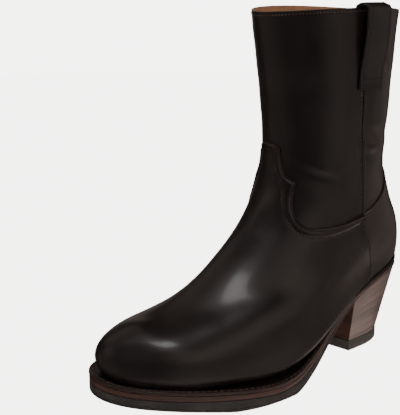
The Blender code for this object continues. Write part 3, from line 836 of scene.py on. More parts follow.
@dataclass(frozen=True)
class LayeredLeather(Finish):
    """Stacked leather cut across its layers: bands of brown, fine fibres along them and dark glue lines."""

    dark: str = "#4a2c22"  # Darkest band
    light: str = "#7a5648"  # Lightest band
    glue: str = "#2a1813"  # Colour of the line between two layers
    # The marked parts get painted shade: the welt's upper side and the heel's breast.
    shade: str = "#a08070"  # Colour that the parts marked on the mesh are multiplied by
    layer: float = 5.6  # Thickness of a layer in millimetres
    line: float = 0.07  # Share of a layer that the glue line takes
    fibre: Pair = (9.0, 0.5)  # Length and thickness of the fibres in millimetres

    def pattern(self, tree: NodeTree, place: NodeSocket) -> tuple[NodeSocket, NodeSocket, Bumps]:
        """Bands of one brown each by height, fibres drawn out along them, glue lines, and painted shade on
        the marked parts.
        """
        long, thick = (per_mm(size) for size in self.fibre)
        height = add_node(tree, "SeparateXYZ", {}, {0: place}, "Z")
        count = add_node(tree, "Math", {1: per_mm(self.layer)}, {0: height}, operation="MULTIPLY")
        number = add_node(tree, "Math", {}, {0: count}, operation="FLOOR")
        within = add_node(tree, "Math", {}, {0: count}, operation="FRACT")
        band = add_node(tree, "TexWhiteNoise", {}, {"W": number}, noise_dimensions="1D")
        stretch = add_node(tree, "Mapping", {"Scale": (long, long, thick)}, {"Vector": place})
        fibre = add_node(tree, "TexNoise", {"Scale": 1.0, "Detail": 5.0, "Roughness": 0.65},
                         {"Vector": stretch})
        mixed = add_node(tree, "Math", {1: 0.6}, {0: band}, operation="MULTIPLY")
        tone = add_node(tree, "Math", {1: 0.75}, {0: fibre, 2: mixed}, operation="MULTIPLY_ADD")
        brown = add_node(tree, "Mix", {6: linear(self.dark), 7: linear(self.light)}, {0: tone}, 2,
                         data_type="RGBA")
        joint = add_node(tree, "MapRange", {"From Min": self.line, "From Max": 0.0}, {"Value": within})
        lined = add_node(tree, "Mix", {7: linear(self.glue)}, {0: joint, 6: brown}, 2, data_type="RGBA")
        # Painted shade: the marked points are multiplied by the shade colour, which darkens them.
        cut = add_node(tree, "Attribute", out="Fac", attribute_name="edge")
        color = add_node(tree, "Mix", {7: linear(self.shade)}, {0: cut, 6: lined}, 2, data_type="RGBA",
                         blend_type="MULTIPLY")
        return color, fibre, ((fibre, 0.06),)


@dataclass(frozen=True)
class Grained(Finish):
    """A plain material with fine grain: two tones in a noise of one size, and the same grain as bump."""

    dark: str = "#1c1b1a"  # Darker tone
    light: str = "#302e2c"  # Lighter tone
    grain: float = 1.0  # Size of the grain in millimetres
    depth: float = 0.05  # Depth of the grain in millimetres
    patch: float = 14.0  # Size of the larger patches in millimetres

    def pattern(self, tree: NodeTree, place: NodeSocket) -> tuple[NodeSocket, NodeSocket, Bumps]:
        """Grain and larger patches as two tones, the darker one where the edge is marked."""
        grain, patch = (add_node(tree, "TexNoise", {"Scale": per_mm(size), "Detail": 3.0}, {"Vector": place})
                        for size in (self.grain, self.patch))
        both = add_node(tree, "Math", {}, {0: grain, 1: patch}, operation="ADD")
        tone = add_node(tree, "MapRange", {"From Min": 0.7, "From Max": 1.3}, {"Value": both})
        cut = add_node(tree, "Attribute", out="Fac", attribute_name="edge")
        color = add_node(tree, "Mix", {6: linear(self.dark), 7: linear(self.light)}, {0: tone}, 2,
                         data_type="RGBA")
        shade = add_node(tree, "Mix", {7: linear(self.dark)}, {0: cut, 6: color}, 2, data_type="RGBA")
        return shade, tone, ((grain, self.depth),)


@dataclass(frozen=True)
class Woven(Finish):
    """Woven tape: warp and weft as two crossing waves, one thread a thread's width from the next."""

    dark: str = "#0d0c0c"  # Colour between threads
    light: str = "#231f1d"  # Colour on top of a thread
    thread: float = 0.55  # Thread spacing in millimetres

    def pattern(self, tree: NodeTree, place: NodeSocket) -> tuple[NodeSocket, NodeSocket, Bumps]:
        """Two waves that cross, pale on top of a thread."""
        warp, weft = (add_node(tree, "TexWave", {"Scale": per_mm(self.thread) / FULL, "Distortion": 0.6},
                               {"Vector": place}, "Fac", bands_direction=axis) for axis in ("Y", "Z"))
        top = add_node(tree, "Math", {}, {0: warp, 1: weft}, operation="MULTIPLY")
        color = add_node(tree, "Mix", {6: linear(self.dark), 7: linear(self.light)}, {0: top}, 2,
                         data_type="RGBA")
        return color, top, ((top, 0.12),)


class Finishes:
    """The boot's materials, made once."""

    def __init__(self) -> None:
        """Make each finish."""
        # Waxed calf: nearly black brown, deep soft highlights under a thin polish, faint pores.
        self.calf = Leather("polished_calf_leather", rough=(0.3, 0.4), coat=0.35, coat_rough=0.16,
                            ior=1.45).make()
        # Same hide on narrow pieces: a little duller, since the polish wears off there.
        self.trim = Leather("polished_trim_leather", rough=(0.36, 0.48), coat=0.25, coat_rough=0.22, ior=1.45,
                            deep="#0a0706", thin="#120e0c").make()
        # Vegetable-tanned lining: dry tan skin with a fine grain.
        self.lining = Leather("vegetable_tanned_lining", rough=(0.5, 0.65), deep="#6e4729", thin="#8a5d38",
                              raw="#946844", cloud=18.0, pore=0.7, pore_depth=0.03).make()
        # Burnished midsole edge: reddish brown, rubbed to a low shine, streaked along its layers.
        self.edge = LayeredLeather("burnished_edge_leather", rough=(0.34, 0.5), coat=0.25, coat_rough=0.25,
                                   dark="#1d0e0a", light="#341a12", glue="#150b08", layer=2.6,
                                   fibre=(12.0, 0.6)).make()
        # Welt: the same leather dyed darker, with painted shade multiplied onto its upper side, where the
        # upper overhangs it.
        self.welt = LayeredLeather("dyed_welt_leather", rough=(0.4, 0.55), coat=0.15, coat_rough=0.3,
                                   dark="#130806", light="#23100b", glue="#0f0806", shade="#806a60",
                                   layer=1.6, fibre=(10.0, 0.7)).make()
        # Stacked heel: reddish brown layers with a waxed face; painted shade on its breast, multiplied in
        # with an orange cast that warms its bands.
        self.stack = LayeredLeather("stacked_heel_leather", rough=(0.32, 0.48), coat=0.3, coat_rough=0.22,
                                    dark="#281b17", light="#483632", glue="#1c110d", shade="#d89468").make()
        # Moulded rubber: charcoal, dull, with a fine mould texture.
        self.rubber = Grained("moulded_rubber", rough=(0.5, 0.68), dark="#171310", light="#27211d").make()
        # Top lift: harder rubber, paler where it has rubbed.
        self.lift = Grained("hard_lift_rubber", rough=(0.45, 0.6), dark="#231f1c", light="#38332f").make()
        # Black rand leather: edge-dyed, low shine.
        self.rand = Grained("dyed_rand_leather", rough=(0.55, 0.7), ior=1.3, dark="#050404", light="#0a0807",
                            grain=0.8, depth=0.02).make()
        # Bonded thread: reddish brown, waxed, slightly shiny.
        self.thread = Grained("waxed_brown_thread", rough=(0.42, 0.55), dark="#221512", light="#3c2824",
                              grain=0.35, depth=0.04).make()
        # Bonded thread dyed like the leather: the strap's rows hardly show.
        self.dark_thread = Grained("waxed_black_thread", rough=(0.42, 0.55), dark="#0e0908", light="#1c1311",
                                   grain=0.35, depth=0.04).make()
        # Linen welt thread: pale brown, dry.
        self.linen = Grained("linen_welt_thread", rough=(0.6, 0.75), dark="#24160f", light="#4a3324",
                             grain=0.4, depth=0.05).make()
        # Aged brass: dark, with brighter rubbed places.
        self.brass = Grained("aged_brass", rough=(0.28, 0.5), metal=1.0, dark="#4a3a28", light="#8a7148",
                             grain=1.6, depth=0.02).make()
        # Zip tape: woven polyester, black brown.
        self.tape = Woven("woven_zip_tape", rough=(0.7, 0.85)).make()
        # Thong: narrow cut lace leather, greyish brown where it has rubbed.
        self.lace = Leather("cut_lace_leather", rough=(0.45, 0.6), deep="#2a221e", thin="#4c423b",
                            raw="#5a4a3e", cloud=6.0).make()


@dataclass
class Upper:
    """Shaft and lining: the hollow upper between the sole and the collar, with its piped side seam."""

    form: LastForm
    wall: float = 1.3  # Thickness of the shaft leather
    skin: float = 0.8  # Thickness of the lining
    lining_gap: float = 0.05  # Distance of the lining from the shaft
    columns: tuple[int, int] = (320, 180)  # Points round a row of the shaft and of the lining
    hem: float = 1.8  # Distance of the collar's stitch row below the rim
    hem_span: Pair = (-78.0, 258.0)  # Angles between which that row runs, in degrees; the zip parts it
    hem_sunk: float = 0.1  # Depth of the row in its groove
    groove: Pair = (0.25, 0.7)  # Depth and width of the groove that the row pulls
    rim: float = 0.6  # Share of a half circle that the rim rises
    near_rim: float = 0.995  # Rise at which the millimetres for a full rise are taken
    # Angle of the side seam by rise, in degrees
    side_seam: Track = Track((0.48, 0.613, 0.745, 0.81, 0.897, 1.0), (71.0, 80.5, 91.5, 95.0, 96.5, 94.0))
    piping_half: float = 1.6  # Half the piping's width
    piping_high: float = 1.2  # Height of its back over its seat
    piping_seat: float = -0.2  # Height of its seat, just below the upper's face
    piping_rise: Pair = (0.478, 0.902)  # Rises of its ends
    piping_row: float = 2.6  # Distance of its stitch row ahead of its middle

    def tall(self, angle: Array) -> Array:
        """Millimetres for a full rise, near the rim."""
        return np.linalg.norm(self.form.slopes(angle, np.full_like(angle, self.near_rim))[1], axis=-1)

    def wall_of(self, rises: Array, start: float, thick: float, columns: int, groove: float) -> Array:
        """A closed wall: up the outer side, over a half-round rim and down the inner side.

        Args:
            rises: Rises of the outer rows, up to the rim.
            start: Distance of the outer side from the form.
            thick: Thickness of the wall.
            columns: Points round a row.
            groove: Depth of the groove that the hem's stitches pull.

        Returns:
            Grid of points whose rows and columns both close.
        """
        turn = np.linspace(0.0, np.pi, 9)[1:-1]
        low = rises[::3][::-1]
        rise = np.concatenate([rises, np.full(len(turn), rises[-1]), low])
        lift = np.concatenate([0.0 * rises, 0.5 * thick * np.sin(turn), 0.0 * low])
        down = np.concatenate([0.0 * rises, 0.5 * thick * (np.cos(turn) - 1.0), np.full(len(low), -thick)])
        angle = np.arange(columns)[None, :] * FULL / columns
        below = (rises[-1] - rise[:, None]) * self.tall(angle) - self.hem
        outer = (np.arange(len(rise)) < len(rises))[:, None]
        dip = groove * bell(below, self.groove[1]) * outer
        angle, rise = np.broadcast_arrays(angle, rise[:, None])
        points = self.form.off(angle, rise, start + down[:, None] - dip)
        points[..., 2] += self.rim * lift[:, None]
        return points

    def build(self, finishes: Finishes) -> None:
        """Make the shaft, its lining, the hem's stitches and the side seam."""
        outer, inner = self.columns
        rises = np.concatenate([np.linspace(0.0, 0.44, 22), np.linspace(0.45, 0.97, 104),
                                np.linspace(0.972, 1.0, 24)])
        lay("shaft_leather", self.wall_of(rises, 0.0, self.wall, outer, self.groove[0]), finishes.calf,
            Slot.POLISHED, "upper", loop=True)
        rises = np.linspace(0.0, 1.0, 96)
        lay("lining_leather", self.wall_of(rises, -self.wall - self.lining_gap, self.skin, inner, 0.0),
            finishes.lining, Slot.INSOLE, loop=True)
        angle = np.radians(np.linspace(*self.hem_span, 700))
        rise = 1.0 - self.hem / self.tall(angle)
        Stitching().sew("collar_stitches", [self.form.row(angle, rise, -self.hem_sunk)], finishes.thread)
        self.build_side_seam(finishes)

    def build_side_seam(self, finishes: Finishes) -> None:
        """Make the piped seam on the outer side: a low round strip with a stitch row ahead of it."""
        across = np.linspace(-1.0, 1.0, 11)[None, :]
        rise = np.linspace(*self.piping_rise, 150)[:, None] + 0.0 * across
        angle = self.form.beside(np.radians(self.side_seam.smooth(rise)), rise, self.piping_half * across)
        arch = np.sqrt(np.clip(1.0 - across ** 2, 0.0, 1.0)) + 0.0 * rise
        arch[[0, -1]] = 0.0
        rings = self.form.slab(angle, rise, self.piping_seat + self.piping_high * arch, self.piping_seat)
        lay("side_piping_leather", rings, finishes.trim, Slot.PIPING, "side_seam_piping")
        rise = np.linspace(*self.piping_rise, 300)
        ahead = np.full_like(rise, self.piping_row)
        angle = self.form.beside(np.radians(self.side_seam.smooth(rise)), rise, ahead)
        Stitching().sew("side_seam_stitches", [self.form.row(angle, rise, 0.0)], finishes.thread)


@dataclass
class Panel:
    """A leather piece laid on the upper inside four edges: a Coons patch in angle and rise."""

    form: LastForm
    low: Seam  # Lower edge from first to last side
    high: Seam  # Upper edge
    first: Seam  # Side at the start, from low to high
    last: Seam  # Side at the end
    columns: int  # Points along the edges
    rows: int  # Points up the sides
    thick: float = 1.4  # Height of the leather's face over the upper
    under: float = -0.25  # Height of its underside, just below the upper's face
    roll: float = 0.9  # Width of the rounded edge

    def grid(self) -> tuple[Array, Array]:
        """Angle and rise of the patch: edges blended along both ways less their corners' plane."""
        s = crowd(self.columns, 1.3)
        for share in self.high.corner_shares():
            s[np.abs(s - share).argmin()] = share
        r = crowd(self.rows, 1.6)
        low, high = (np.stack(edge.at(s), -1)[None] for edge in (self.low, self.high))
        first, last = (np.stack(edge.at(r), -1)[:, None] for edge in (self.first, self.last))
        s = s[None, :, None]
        r = r[:, None, None]
        ruled = (1.0 - r) * low + r * high + (1.0 - s) * first + s * last
        bottom = (1.0 - s) * low[:, :1] + s * low[:, -1:]
        top = (1.0 - s) * high[:, :1] + s * high[:, -1:]
        grid = ruled - (1.0 - r) * bottom - r * top
        return grid[..., 0], grid[..., 1]

    def line(self, seam: Seam, count: int = 900) -> Array:
        """Points of a seam on the form."""
        return self.form.point(*seam.at(np.linspace(0.0, 1.0, count)))

    def face(self, height: Array, gap: Array) -> Array:
        """Height of the face, brought down to the underside in a quarter circle at the edge."""
        return self.under + (height - self.under) * quarter(gap, self.roll)

    def sheet(self, name: str, angle: Array, rise: Array, height: Array, mark: Array,
              material: Material, node: str) -> None:
        """Close the piece: its face at a height over the form and its underside, which meet at the border.

        Args:
            name: Name of the piece.
            angle: Angles of the grid.
            rise: Rises of the grid.
            height: Height of the face over the form.
            mark: Cut edge, from 0 to 1.
            material: Its finish.
            node: CAD node that it replaces.
        """
        face = height.copy()
        face[[0, -1]] = self.under
        face[:, [0, -1]] = self.under
        lay(name, self.form.slab(angle, rise, face, self.under), material, Slot.POLISHED, node,
            mark=np.concatenate([mark, 0.0 * mark], 1))


# Rise of the lower edges of vamp and counter, and angle of the line where the two meet, by rise.
LOWEST = 0.012
COUNTER_FRONT = Track((0.0, 0.03, 0.115, 0.253, 0.365, 0.448, 0.483),
                      (58.5, 57.0, 55.5, 58.5, 62.5, 68.0, 69.8))


@dataclass
class Vamp:
    """The vamp: from the toe to the scalloped edge of its tongue, lapped over the counter at both sides."""

    form: LastForm
    # Angles of the upper edge on the outer side, from the counter to the tongue
    edge_angles: Stops = (72.0, 82.0, 98.0, 109.5, 122.0, 132.0, 140.0, 144.5, 147.0, 147.5, 155.0, 164.5,
                          168.5, 170.5, 177.0, 187.0)
    # Their rises
    edge_rises: Stops = (0.480, 0.497, 0.525, 0.545, 0.568, 0.595, 0.628, 0.655, 0.685, 0.708, 0.720,
                         0.745, 0.770, 0.795, 0.802, 0.805)
    # Angles of the second stitch row on the outer side
    second_angles: Stops = (76.0, 87.5, 101.0, 109.0, 120.5, 133.5, 146.0, 155.0, 161.0, 170.0, 174.5,
                            176.0)
    # Their rises
    second_rises: Stops = (0.452, 0.470, 0.495, 0.510, 0.540, 0.578, 0.620, 0.657, 0.698, 0.725, 0.755,
                           0.782)
    corners: tuple[int, int] = (9, 13)  # Numbers of the edge's stops at which it turns sharply
    tongue: float = 187.0  # Angle of the tongue's middle
    lap: Pair = (0.9, 6.0)  # Height and width of the rise over the counter
    row: float = 1.7  # Distance of the stitch row from the upper edge
    rear_row: float = 2.5  # Distance of the row from the rear edge
    band: float = 0.4  # Height of the padded band between the two rows
    over: float = 0.6  # Degrees by which its rear edge passes the counter's front line
    band_step: float = 0.7  # Width over which the band steps up
    # How much the band swells in its middle, as a share of its height, and the power of its curve
    puff: Pair = (1.6, 0.8)
    # Depth and width of the grooves that the edge's, the second and the rear row pull
    grooves: tuple[Pair, ...] = ((0.45, 0.55), (0.6, 0.7), (0.45, 0.5))
    sunk: Triple = (0.1, 0.05, 0.3)  # Depth of the stitches in those grooves

    def other_side(self, angles: Stops) -> Stops:
        """Angles on the inner side: mirrored, leaning with the tongue."""
        start = self.edge_angles[0]
        lean = [(angle - start) / (self.tongue - start) for angle in angles]
        return tuple(360.0 - a + 2.0 * (self.tongue - 180.0) * share for a, share in zip(angles, lean))

    def upper_edge(self) -> Seam:
        """The upper edge from the outer side over the tongue to the inner side."""
        last = 2 * (len(self.edge_angles) - 1)
        turned = self.other_side(self.edge_angles)[-2::-1]
        corners = (*self.corners, *(last - i for i in reversed(self.corners)))
        return Seam(self.edge_angles + turned, self.edge_rises + self.edge_rises[-2::-1], corners)

    def rear_edge(self) -> Seam:
        """The edge that laps over the counter, from the sole up."""
        share = np.linspace(0.0, 1.0, 12)
        top = self.edge_rises[0]
        rise = LOWEST + (top - LOWEST) * share
        angle = COUNTER_FRONT.smooth(rise) + self.over
        angle = angle + (self.edge_angles[0] - COUNTER_FRONT.smooth(top) - self.over) * share ** 6
        return Seam(tuple(angle), tuple(rise))

    def build(self, finishes: Finishes) -> None:
        """Make the vamp and its stitch rows."""
        rear = self.rear_edge()
        front = rear.angles[0]
        low = Seam(tuple(np.linspace(front, 360.0 - front, 9)), (LOWEST,) * 9)
        edge = self.upper_edge()
        panel = Panel(self.form, low, edge, rear, rear.mirrored(), 401, 118)
        angle, rise = panel.grid()
        points = self.form.point(angle, rise)
        edge_line = panel.line(edge)
        gap, _ = nearest(points, edge_line)
        sides = np.concatenate([panel.line(rear, 300), panel.line(rear.mirrored(), 300)])
        behind, _ = nearest(points, sides)
        seconds = [Seam(self.second_angles, self.second_rises),
                   Seam(self.other_side(self.second_angles), self.second_rises)]
        second_line = np.concatenate([panel.line(seam, 450) for seam in seconds])
        from_second, index = nearest(points, second_line)
        inside = gap < nearest(second_line, edge_line)[0][index]
        signed = np.where(inside, from_second, -from_second)
        across = gap / (gap + from_second + 1e-6)
        puff = np.where(inside, np.sin(np.pi * across) ** self.puff[1], 0.0)
        padded = 0.5 * (1.0 + np.tanh(signed / self.band_step)) + self.puff[0] * puff
        height = panel.thick + self.band * padded + self.lap[0] * bell(behind, self.lap[1])
        rows = (gap - self.row, from_second, behind - self.rear_row)
        for distance, (deep, wide) in zip(rows, self.grooves):
            height = height - deep * bell(distance, wide)
        height = panel.face(height, np.minimum(gap, behind))
        mark = np.maximum(cut_edge(gap, 1.3, 0.5), cut_edge(behind, 0.3, 2.0))
        panel.sheet("vamp_leather", angle, rise, height, mark, finishes.calf, "vamp")
        self.build_stitches(finishes, panel, edge, rear, seconds)

    def build_stitches(self, finishes: Finishes, panel: Panel, edge: Seam, rear: Seam,
                       seconds: list[Seam]) -> None:
        """Lay the rows beside the upper edge, along the second line and beside the rear edges."""
        share = np.linspace(0.0, 1.0, 1200)
        at_edge, at_second, at_rear = self.sunk
        lapped = panel.thick + self.lap[0] - at_rear
        lines = [(self.form.inset(*edge.at(share[20:-20]), self.row), panel.thick + self.band - at_edge),
                 (self.form.inset(*rear.at(share[40:]), self.rear_row), lapped),
                 (self.form.inset(*rear.mirrored().at(share[40:]), -self.rear_row), lapped)]
        lines += [(seam.at(share[30:]), panel.thick - at_second) for seam in seconds]
        rows = [self.form.row(angle, rise, height) for (angle, rise), height in lines]
        Stitching().sew("vamp_stitches", rows, finishes.thread)


@dataclass
class Counter:
    """The heel counter: round the back, its top raised there, its front edges under the vamp."""

    form: LastForm
    # Rise of the top edge by angle from the back
    top: Track = Track((0.0, 12.0, 25.0, 34.0, 40.5, 46.5, 54.5, 61.0, 69.8),
                       (0.550, 0.543, 0.520, 0.495, 0.478, 0.471, 0.469, 0.471, 0.483))
    tuck: float = 4.0  # Degrees that its front goes on under the vamp
    thick: float = 1.1  # Height of its face over the upper
    row: float = 1.8  # Distance of the stitch row from the top edge
    groove: Pair = (0.25, 0.5)  # Depth and width of the groove that the row pulls

    def build(self, finishes: Finishes) -> None:
        """Make the counter and its stitch row."""
        share = np.linspace(0.0, 1.0, 12)
        rise = LOWEST + (self.top.values[-1] - LOWEST) * share
        side = Seam(tuple(COUNTER_FRONT.smooth(rise) + self.tuck), tuple(rise))
        front = side.angles[-1]
        angles = np.linspace(front, -front, 41)
        reach = np.minimum(np.abs(angles), self.top.places[-1])
        high = Seam(tuple(angles), tuple(self.top.smooth(reach)))
        base = side.angles[0]
        low = Seam(tuple(np.linspace(base, -base, 9)), (LOWEST,) * 9)
        panel = Panel(self.form, low, high, side, side.mirrored(0.0), 181, 90, thick=self.thick)
        angle, rise = panel.grid()
        gap, _ = nearest(self.form.point(angle, rise), panel.line(high))
        deep, wide = self.groove
        height = panel.face(panel.thick - deep * bell(gap - self.row, wide), gap)
        panel.sheet("counter_leather", angle, rise, height, cut_edge(gap, 1.4, 0.5), finishes.calf, "counter")
        angle, rise = self.form.inset(*high.at(np.linspace(0.04, 0.96, 900)), -self.row)
        Stitching().sew("counter_stitches", [self.form.row(angle, rise, self.thick - deep)], finishes.thread)


@dataclass
class PullStrap:
    """The pull strap: sewn to the outer side, standing off toward the collar, over it and down inside."""

    form: LastForm
    angle: float = 91.2  # Angle of its middle, in degrees
    half: float = 10.7  # Half its width
    thick: float = 2.0  # Its thickness
    # Rise of its stops, from the sewn end up and over
    rise: Stops = (0.893, 0.918, 0.945, 0.972, 1.0, 1.0, 1.0, 1.0, 1.0, 0.985, 0.950, 0.885)
    # Height of the stops above the collar
    lift: Stops = (0.0, 0.0, 0.0, 0.0, 0.0, 1.5, 2.6, 2.2, 0.6, 0.0, 0.0, 0.0)
    # Distance of the stops from the upper's outer side
    off: Stops = (1.6, 1.6, 3.6, 6.0, 6.6, 5.4, 2.0, -2.0, -4.9, -5.2, -4.4, -3.7)
    row: float = 2.2  # Distance of its stitch rows from its edges
    tilt: float = 0.006  # Rise by which the sewn end's front edge is higher than its middle
    sewn: float = 4.0  # Stop at which that tilt has gone
    steps: int = 150  # Points along it
    roll: float = 0.9  # Width of its rounded edges
    groove: Pair = (0.22, 0.5)  # Depth and width of the groove that a row pulls
    long_rows: Pair = (0.35, 6.2)  # Stops between which the rows along its edges run
    cross_rows: Pair = (0.3, 0.92)  # Stops of the rows across its sewn end

    def middle(self, at: Array, across: Array) -> tuple[Array, Array]:
        """Middle surface of the strap and its normals: splines through the stops, carried across the width.

        Args:
            at: Places along the stops.
            across: Millimetres from the strap's middle line.

        Returns:
            Grids of points and of unit normals.
        """
        stops = tuple(range(len(self.rise)))
        rise, lift, off = (Track(stops, values).smooth(at)[:, None]
                           for values in (self.rise, self.lift, self.off))
        sewn = np.clip(1.0 - at / self.sewn, 0.0, 1.0)[:, None]
        rise = np.minimum(rise, 1.0) + self.tilt * sewn * across[None, :] / self.half
        angle = self.form.beside(np.radians(self.angle) + 0.0 * rise, rise, across[None, :] + 0.0 * rise)
        base = self.form.point(angle, rise)
        points = base + (off + 0.0 * across[None, :])[..., None] * self.form.normal(angle, rise)
        points[..., 2] += lift
        return points, unit(np.cross(np.gradient(points, axis=0), np.gradient(points, axis=1)))

    def build(self, finishes: Finishes) -> None:
        """Make the strap and its stitches."""
        at = np.linspace(0.0, len(self.rise) - 1.0, self.steps)
        across = np.linspace(-self.half, self.half, 41)
        points, normal = self.middle(at, across)
        gap = self.half - np.abs(across)
        soft = 0.5 * self.thick * quarter(gap, self.roll)
        pulled = soft - self.groove[0] * bell(gap - self.row, self.groove[1])
        rings = two_sided(points + normal * pulled[None, :, None], points - normal * soft[None, :, None])
        mark = 0.4 * cut_edge(gap, 1.2, 0.6)
        lay("pull_strap_leather", capped(rings), finishes.trim, Slot.POLISHED, "pull_strap",
            mark=np.concatenate([mark, mark[::-1]]))
        inner = self.half - self.row
        rows = []
        for side in (-inner, inner):
            path, out = self.middle(np.linspace(*self.long_rows, 400), side + np.array([-0.5, 0.0, 0.5]))
            rows.append((path[:, 1] + out[:, 1] * (0.5 * self.thick - 0.2), out[:, 1]))
        for stop in self.cross_rows:
            path, out = self.middle(stop + np.array([-0.05, 0.0, 0.05]), np.linspace(-inner, inner, 60))
            rows.append((path[1] + out[1] * (0.5 * self.thick - 0.05), out[1]))
        Stitching().sew("pull_strap_stitches", rows, finishes.dark_thread)


@dataclass
class Zip:
    """The zip on the inner side: two facings, a tape with teeth, a closing patch, a slider and its thong."""

    form: LastForm
    # Angle of the zip's line by rise, measured from the back round the inner side
    line: Track = Upper.side_seam
    span: Pair = (0.553, 0.992)  # Rise of its lower and upper end
    tape_half: float = 3.3  # Half the width of the tape that shows
    facing: Pair = (3.1, 9.0)  # Distances of a facing's edges from the zip's line
    patch: Triple = (0.513, 0.556, 9.5)  # Rise of the closing patch's ends, and its half-width
    slider_rise: float = 0.972  # Rise of the slider
    slider: Triple = (6.4, 9.0, 2.6)  # Width, height and depth of the slider
    waist: float = 0.18  # Share by which the slider narrows in its middle
    bail: Triple = (2.4, 1.7, 1.0)  # Half-length, height and seat of the slider's bail
    wire: float = 0.55  # Half the bail's thickness
    under: float = -0.25  # Height of the strips' undersides
    roll: float = 0.7  # Width of their rounded edges
    row: float = 1.5  # Distance of a stitch row from a strip's edge
    groove: Pair = (0.2, 0.5)  # Depth and width of the groove that a row pulls
    tops: Triple = (0.75, 1.3, 1.7)  # Height of the faces of tape, facings and patch
    overlay_gap: float = 0.5  # Distance of the chain from the upper
    chain: float = 0.9  # Thickness of the chain
    clear: float = 0.3  # Clearance of the slider and of the thong
    tooth: Triple = (2.7, 1.15, 1.1)  # Width, height and depth of a tooth
    tooth_pitch: float = 2.1  # Distance between two teeth of one side
    tooth_swing: float = 0.55  # Distance of a tooth's middle from the zip's line
    thong_half: float = 0.9  # Half the thong's thickness
    thong_drop: float = 36.0  # Length that the thong hangs
    thong_sway: float = 0.8  # How far it sways to the side
    thong_bulge: float = 1.6  # How far it stands out
    thong_points: int = 24  # Points along it
    knot_share: float = 0.5  # Place of its knot, as a share of its length
    knot: Triple = (1.55, 1.35, 1.5)  # Half-sizes of the knot

    def middle(self, rise: Array) -> Array:
        """Angle of the zip's line at a rise."""
        return FULL - np.radians(self.line.smooth(rise))

    def strip(self, name: str, edges: Pair, span: Pair, thick: float, groove: float,
              material: Material, slot: Slot, node: str) -> None:
        """A strip along the zip's line between two widths, its edges rounded.

        Args:
            name: Name of the piece.
            edges: Distances of its edges from the line.
            span: Rises of its ends.
            thick: Height of its face over the upper.
            groove: Depth of the stitch grooves near its edges.
            material: Its finish.
            slot: Slot of the record.
            node: CAD node that it replaces.
        """
        share = crowd(25, 1.4)
        rise = (span[0] + (span[1] - span[0]) * crowd(120, 0.8))[:, None] + 0.0 * share[None, :]
        width = (edges[0] + (edges[1] - edges[0]) * share)[None, :] + 0.0 * rise
        angle = self.form.beside(self.middle(rise), rise, width)
        gap = np.minimum(width - edges[0], edges[1] - width)
        face = thick - groove * bell(gap - self.row, self.groove[1])
        face = self.under + (face - self.under) * quarter(gap, self.roll)
        face[[0, -1]] = self.under
        mark = cut_edge(gap, 1.2, 0.5)
        lay(name, self.form.slab(angle, rise, face, self.under), material, slot, node,
            mark=np.concatenate([mark, 0.0 * mark], 1))

    def beside(self, rise: Array, width: Array, height: float) -> tuple[Array, Array]:
        """A stitch row at a width beside the zip's line."""
        return self.form.row(self.form.beside(self.middle(rise), rise, width), rise, height)

    def build(self, finishes: Finishes) -> None:
        """Make the facings, tape, patch, teeth, slider and thong."""
        near, far = self.facing
        low, high, half = self.patch
        tape, facing, patch = self.tops
        deep = self.groove[0]
        self.strip("zip_tape_weave", (-self.tape_half, self.tape_half), self.span, tape, 0.0, finishes.tape,
                   Slot.TAPE, "zip_chain")
        for name, edges, span, top, node in (
                ("zip_front_facing", (-far, -near), self.span, facing, "zip_facing_front"),
                ("zip_back_facing", (near, far), self.span, facing, "zip_facing_back"),
                ("zip_end_patch", (-half, half), (low, high), patch, "zip_patch")):
            self.strip(name, edges, span, top, deep, finishes.trim, Slot.POLISHED, node)
        rise = np.linspace(self.span[0] + 0.012, self.span[1] - 0.004, 300)
        rows = [self.beside(rise, np.full_like(rise, width), facing - deep)
                for width in (self.row - far, -near - self.row, near + self.row, far - self.row)]
        width = np.linspace(self.row - half, half - self.row, 60)
        rows += [self.beside(np.full_like(width, level), width, patch - 0.1)
                 for level in np.linspace(low, high, 7)[[1, 5]]]
        Stitching().sew("zip_stitches", rows, finishes.thread)
        self.build_teeth(finishes)
        self.build_slider(finishes)
        self.build_thong(finishes)

    def axes(self, rise: Array, distance: float) -> tuple[Array, Array, Array, Array]:
        """Place on the zip's line and its directions: across the zip, up along it and out."""
        rise = np.asarray(rise, float)
        angle = self.middle(rise)
        out = self.form.normal(angle, rise)
        side = unit(np.cross(UP, out))
        place = self.form.point(angle, rise) + distance * out
        return place, side, np.cross(out, side), out

    def build_teeth(self, finishes: Finishes) -> None:
        """Make the closed teeth: small rounded blocks, left and right in turn."""
        rise = np.linspace(*self.span, 400)
        run = run_of(self.axes(rise, 0.0)[0])
        count = int(run[-1] / (0.5 * self.tooth_pitch))
        at = np.interp((np.arange(count) + 0.5) * run[-1] / count, run, rise)
        place, side, up, out = self.axes(at, self.overlay_gap + 0.5 * self.chain)
        block = rounded_block(self.tooth, 0.45, 6, 8)
        swing = np.where(np.arange(count) % 2 == 0, -self.tooth_swing, self.tooth_swing)
        place = place + swing[:, None] * side
        teeth = np.einsum("ijk,nkl->nijl", block, np.stack([side, up, out], 1)) + place[:, None, None]
        lay("zip_teeth", teeth, finishes.brass, Slot.METAL)

